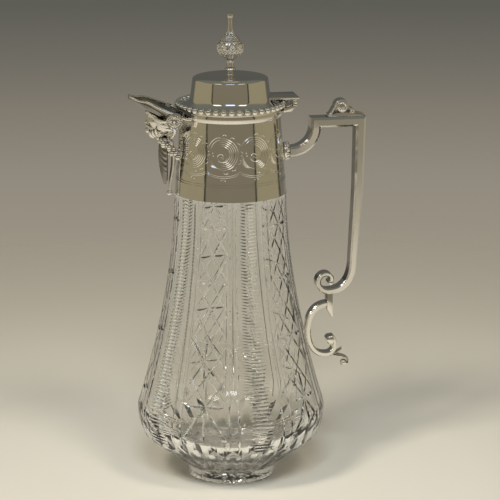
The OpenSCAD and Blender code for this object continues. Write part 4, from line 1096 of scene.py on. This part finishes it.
lower_middle = Vector((stem_x, lower_z))
lower_start, lower_left = Vector((stem_x - 3.7, lower_z + lower_half)), Vector((lower_x, lower_z))
lower_base, lower_turn = lower_middle + lower(-0.24, -0.95), lower_middle + lower(0.1, -0.57)
lower_eye = lower_middle + lower(-0.07, -0.39)
lower_path = [lower_start] + bezier(lower_start - Vector((0.5, 0)), lower_start + lower(-0.54, -0.08),
                                    lower_left + lower(0, 0.54), lower_left, 24)
lower_path += bezier(lower_left, lower_left + lower(0, -0.54), lower_base + lower(-0.45, 0),
                     lower_base, 24)[1:]
curl = bezier(lower_base, lower_base + lower(0.27, 0), lower_turn + lower(0, -0.19), lower_turn, 12)[1:]
curl += bezier(lower_turn, lower_turn + lower(0, 0.13), lower_eye + lower(0.15, 0.12),
               lower_eye + lower(0.04, 0.13), 12)[1:]
lower_thicks = [3.3] * len(lower_path) + ramp(3.3, 2, len(curl))
lower_path += curl
handle_lower_scroll = joined("handle_lower_scroll", [
    strap("handle_lower_scroll", lower_path, lower_thicks, ramp(8, 7, len(lower_path))),
    button("eye", [(0, 4.3), (1.4, 4.2), (2.2, 3.9), (2.69, 3.5), (2.69, 0)], lower_eye, 40)], 24)
dress(handle_lower_scroll, polished, "jug", "handle_lower_scroll")

root = lower_base + Vector((2.5, -0.6))
ball_at = root + Vector((9.4, -6))
leaf_parts = []
for ends, (wide, narrow), veins in (
        ((root, root + Vector((7, -1.2)), ball_at + Vector((4.6, 3.6)), ball_at + Vector((2.6, -0.6))),
         (3.5, 1.4), 3),
        ((root, root + Vector((3, 0.6)), root + Vector((6, 1.5)), root + Vector((8.2, 3.4))), (3.8, 1.2), 2)):
    run = [Vector((p.x, 0, p.y)) * mm for p in bezier(*ends, 24)]
    radii = [(r + 0.25 * cos(i * 1.3)) * mm for i, r in enumerate(ramp(wide, narrow, 25))]
    leaf_parts.append(tube("lobe", run, radii, 20, squash=0.32))
    for k in range(veins):
        aside = (k - (veins - 1) / 2) * 1.6
        path = [p + Vector((0, aside * (1 - i / 34), 0.9)) * mm for i, p in enumerate(run)]
        leaf_parts.append(tube("vein", path, swell(25, 0.25 * mm, 0.5 * mm, 0.3), 8, start=across_y))
leaf_parts.append(bead(2.2 * mm, Vector((ball_at.x, 0, ball_at.y)) * mm, 28, 18))
handle_leaf = joined("handle_leaf", leaf_parts, 50)
dress(handle_leaf, cast_plate, "jug", "handle_leaf")

centre = Vector((69.2, top_z + 6.2))
small = centre + Vector((6.4, -3.4))
rise = bezier((centre.x - 9, top_z + 0.8), (centre.x - 6, top_z + 0.9), (centre.x - 5.6, centre.y - 1.5),
              centre + Vector((-4.0, 0)), 14)
rise += arc(centre, 4.0, 3.8, 180, 10, 26)[1:]
rise += bezier(centre + Vector((3.75, 0.7)), centre + Vector((4.0, -2)), small + Vector((-1.2, 2.4)),
               small + Vector((0.4, 1.5)), 12)[1:]
thumb = [strap("thumb_scroll", rise, ramp(1.5, 1.3, len(rise)), ramp(7, 8.5, len(rise))),
         button("knurl", [(0, 5.6), (0.7, 5.5), (1.0, 5.1), (1.25, 4.7), (1.7, 4.6), (2.0, 4.9), (2.4, 5.1),
                          (2.8, 4.9), (3.0, 4.5), (3.3, 4.5), (3.6, 4.2), (3.6, 0)], centre),
         button("small_knurl", [(0, 4.2), (0.6, 4.1), (0.9, 3.8), (1.2, 3.9), (1.6, 3.7), (1.7, 3.4),
                                (1.7, 0)], small, 32)]
seat_x, seat_l = centre.x - 8.6, 84.1 - centre.x + 7.4
thumb.append(prism("seat", [((seat_x + x) * mm, (top_z + z) * mm) for x, z in (
    (0, 0), (seat_l, 0), (seat_l, 0.7), (seat_l - 4, 1.5), (12, 2.6), (5.5, 2.6), (0, 0.7))],
    8 * mm, 0.3 * mm))
for k in range(5):
    run = [Vector((seat_x + 13 + 1.2 * i, (k - 2) * 1.5 * (1 - i / 14), top_z + 2.4 - 0.17 * i)) * mm
           for i in range(9)]
    thumb.append(tube("vein", run, swell(9, 0.35 * mm, 0.75 * mm, 0.35), 10, start=across_y))
thumb_scroll = joined("thumb_scroll", thumb, 30)
dress(thumb_scroll, cast_plate, "jug", "thumb_scroll")

ferrule_end = arm_x - 4.6 * 0.45
ferrule_root = collar_line(arm_z * mm) / mm - 0.3
profile = [(0, ferrule_root - 1), (4.4, ferrule_root - 1), (5.3, ferrule_root), (5.6, ferrule_root + 0.5),
           (5.3, ferrule_root + 1), (5.5, ferrule_end - 0.9), (5.2, ferrule_end), (4.2, ferrule_end + 0.3),
           (4.2, arm_x - 0.6), (0, arm_x - 0.6)]
ferrule = [placed(lathe("handle_ferrule", [(r * mm, x * mm) for r, x in profile], 64),
                  turned_by(90, "Y"), Vector((0, 0, arm_z * mm)))]
for i in range(10):
    swing = turned_by(36 * i, "X")
    spot = Vector((ferrule_end * mm, 0, arm_z * mm)) + swing @ Vector((0, 0, 4.4 * mm))
    ferrule.append(bead(1.55 * mm, spot, 20, 14, swing))
handle_ferrule = joined("handle_ferrule", ferrule, 36)
dress(handle_ferrule, cast_plate, "jug", "handle_ferrule")


# Finial: a cast bud of overlapping leaves on a turned stem, drawn up to a flat-topped spire.
# A brass stud and nut hold it from inside the lid.
ledge_t = 0.62  # where a ledge parts the bud's bulb from the flare over it


def bud_radius(t):
    """Radius of the bud in mm, from its foot at 0 to the spire at 1."""
    bulb = (2.3, 8.16, 9.76, 6.88), t / ledge_t
    flare = (6.88, 5.2, 2.6, 1.7), (t - ledge_t) / (1 - ledge_t)
    (a, b, c, d), t = bulb if t < ledge_t else flare
    return (1 - t) ** 3 * a + 3 * (1 - t) ** 2 * t * b + 3 * (1 - t) * t * t * c + t ** 3 * d


leaf_rows_of_bud = [(0.0, 0.42, 0.0, 8), (0.18, 0.6, 0.5, 8), (0.66, 0.86, 0.5, 8), (0.68, 1.0, 0.0, 8)]
turns, levels, rings = 192, 120, []
bud_z, spire_z = 9.2, 27  # above the crown, in mm
for i in range(levels + 1):
    t, ring = i / levels, []
    for k in range(turns):
        relief = 0
        for low, high, phase, count in leaf_rows_of_bud:
            along = (t - low) / (high - low)
            if 0 <= along <= 1:
                aside = ((k / turns * count + phase) % 1 - 0.5) * 2
                half = sin(pi * min(1, 0.2 + 0.8 * along)) ** 0.6 * (0.86 + 0.12 * cos(7 * pi * along))
                inside = 1 - (aside / max(half, 0.01)) ** 2
                if inside > 0:
                    vein = 0.3 * exp(-(aside / 0.1) ** 2)
                    vein += 0.14 * cos(2 * pi * (5 * along - 1.6 * abs(aside)))
                    relief = max(relief, (0.4 + 0.75 * along) * inside ** 0.4 - vein)
        ledge = 0.55 * exp(-((t - 0.635) / 0.02) ** 2)
        r = bud_radius(t) * 0.9 + relief * min(1, bud_radius(t) / 6) * 0.95 + ledge
        angle = 2 * pi * k / turns
        ring.append(Vector((r * cos(angle), r * sin(angle), bud_z + (spire_z - bud_z) * t)) * mm)
    rings.append(ring)
bud = skin("finial", rings, 80)
bud.data.transform(Matrix.Translation((0, 0, crown_z)))
stem_run = [(0, 0), (2.6, 0), (2.4, 0.4), (1.7, 0.9), (1.6, 1.5), (2.2, 2.2), (3.2, 2.8), (3.6, 3.3),
            (3.3, 3.9), (2.5, 4.3), (2.2, 4.7), (2.7, 5.1), (2.7, 5.5), (2.2, 5.9), (2.0, 6.6), (2.0, 8.0),
            (2.4, 9.0), (2.9, 9.5), (0, 9.8)]
top_run = [(0, 26), (2.0, 26), (1.75, 27.6), (1.4, 29.5), (1.3, 32), (1.4, 34.4), (1.25, 34.8), (1.7, 35.3),
           (1.85, 36.2), (1.6, 37.1), (0.9, 37.55), (0, 37.6)]
finial = joined("finial", [bud] + [
    lathe(name, [(r * mm, crown_z + z * mm) for r, z in run], steps)
    for name, run, steps in (("stem", stem_run, 64), ("spire", top_run, 48))], 45)
dress(finial, cast_plate, "lid", "finial")


# Hidden fixings: the plaster that beds the glass in the collar, and the finial's brass stud,
# washer and nut. They are simple parts and keep the shapes of the build.
def plaster():
    """White jeweller's cement, matt and grainy."""
    bed = Finish("neck_cement")
    grain = bed.noise(700, 6)
    return bed.surface(bed.node("BsdfPrincipled", {}, {
        "Base Color": bed.blend(grain, (0.62, 0.60, 0.54), (0.80, 0.78, 0.72)), "Roughness": 0.85,
        "Normal": bed.bump(0.3, 0.3 * mm, grain)}))


def brass():
    """Plain turned brass, dulled by age, with fine tool marks."""
    metal = Finish("fixing_brass")
    cloud = metal.noise(500, 5)
    return metal.surface(metal.node("BsdfPrincipled", {}, {
        "Base Color": metal.blend(cloud, (0.50, 0.33, 0.12), (0.74, 0.55, 0.25)), "Metallic": 1.0,
        "Roughness": 0.25 + cloud * 0.2, "Normal": metal.bump(0.1, 0.2 * mm, cloud)}))


for names, material in ((("neck_cement",), plaster()),
                        (("finial_stud", "finial_washer", "finial_nut"), brass())):
    for name in names:
        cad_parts[name].data.materials.clear()
        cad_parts[name].data.materials.append(material)
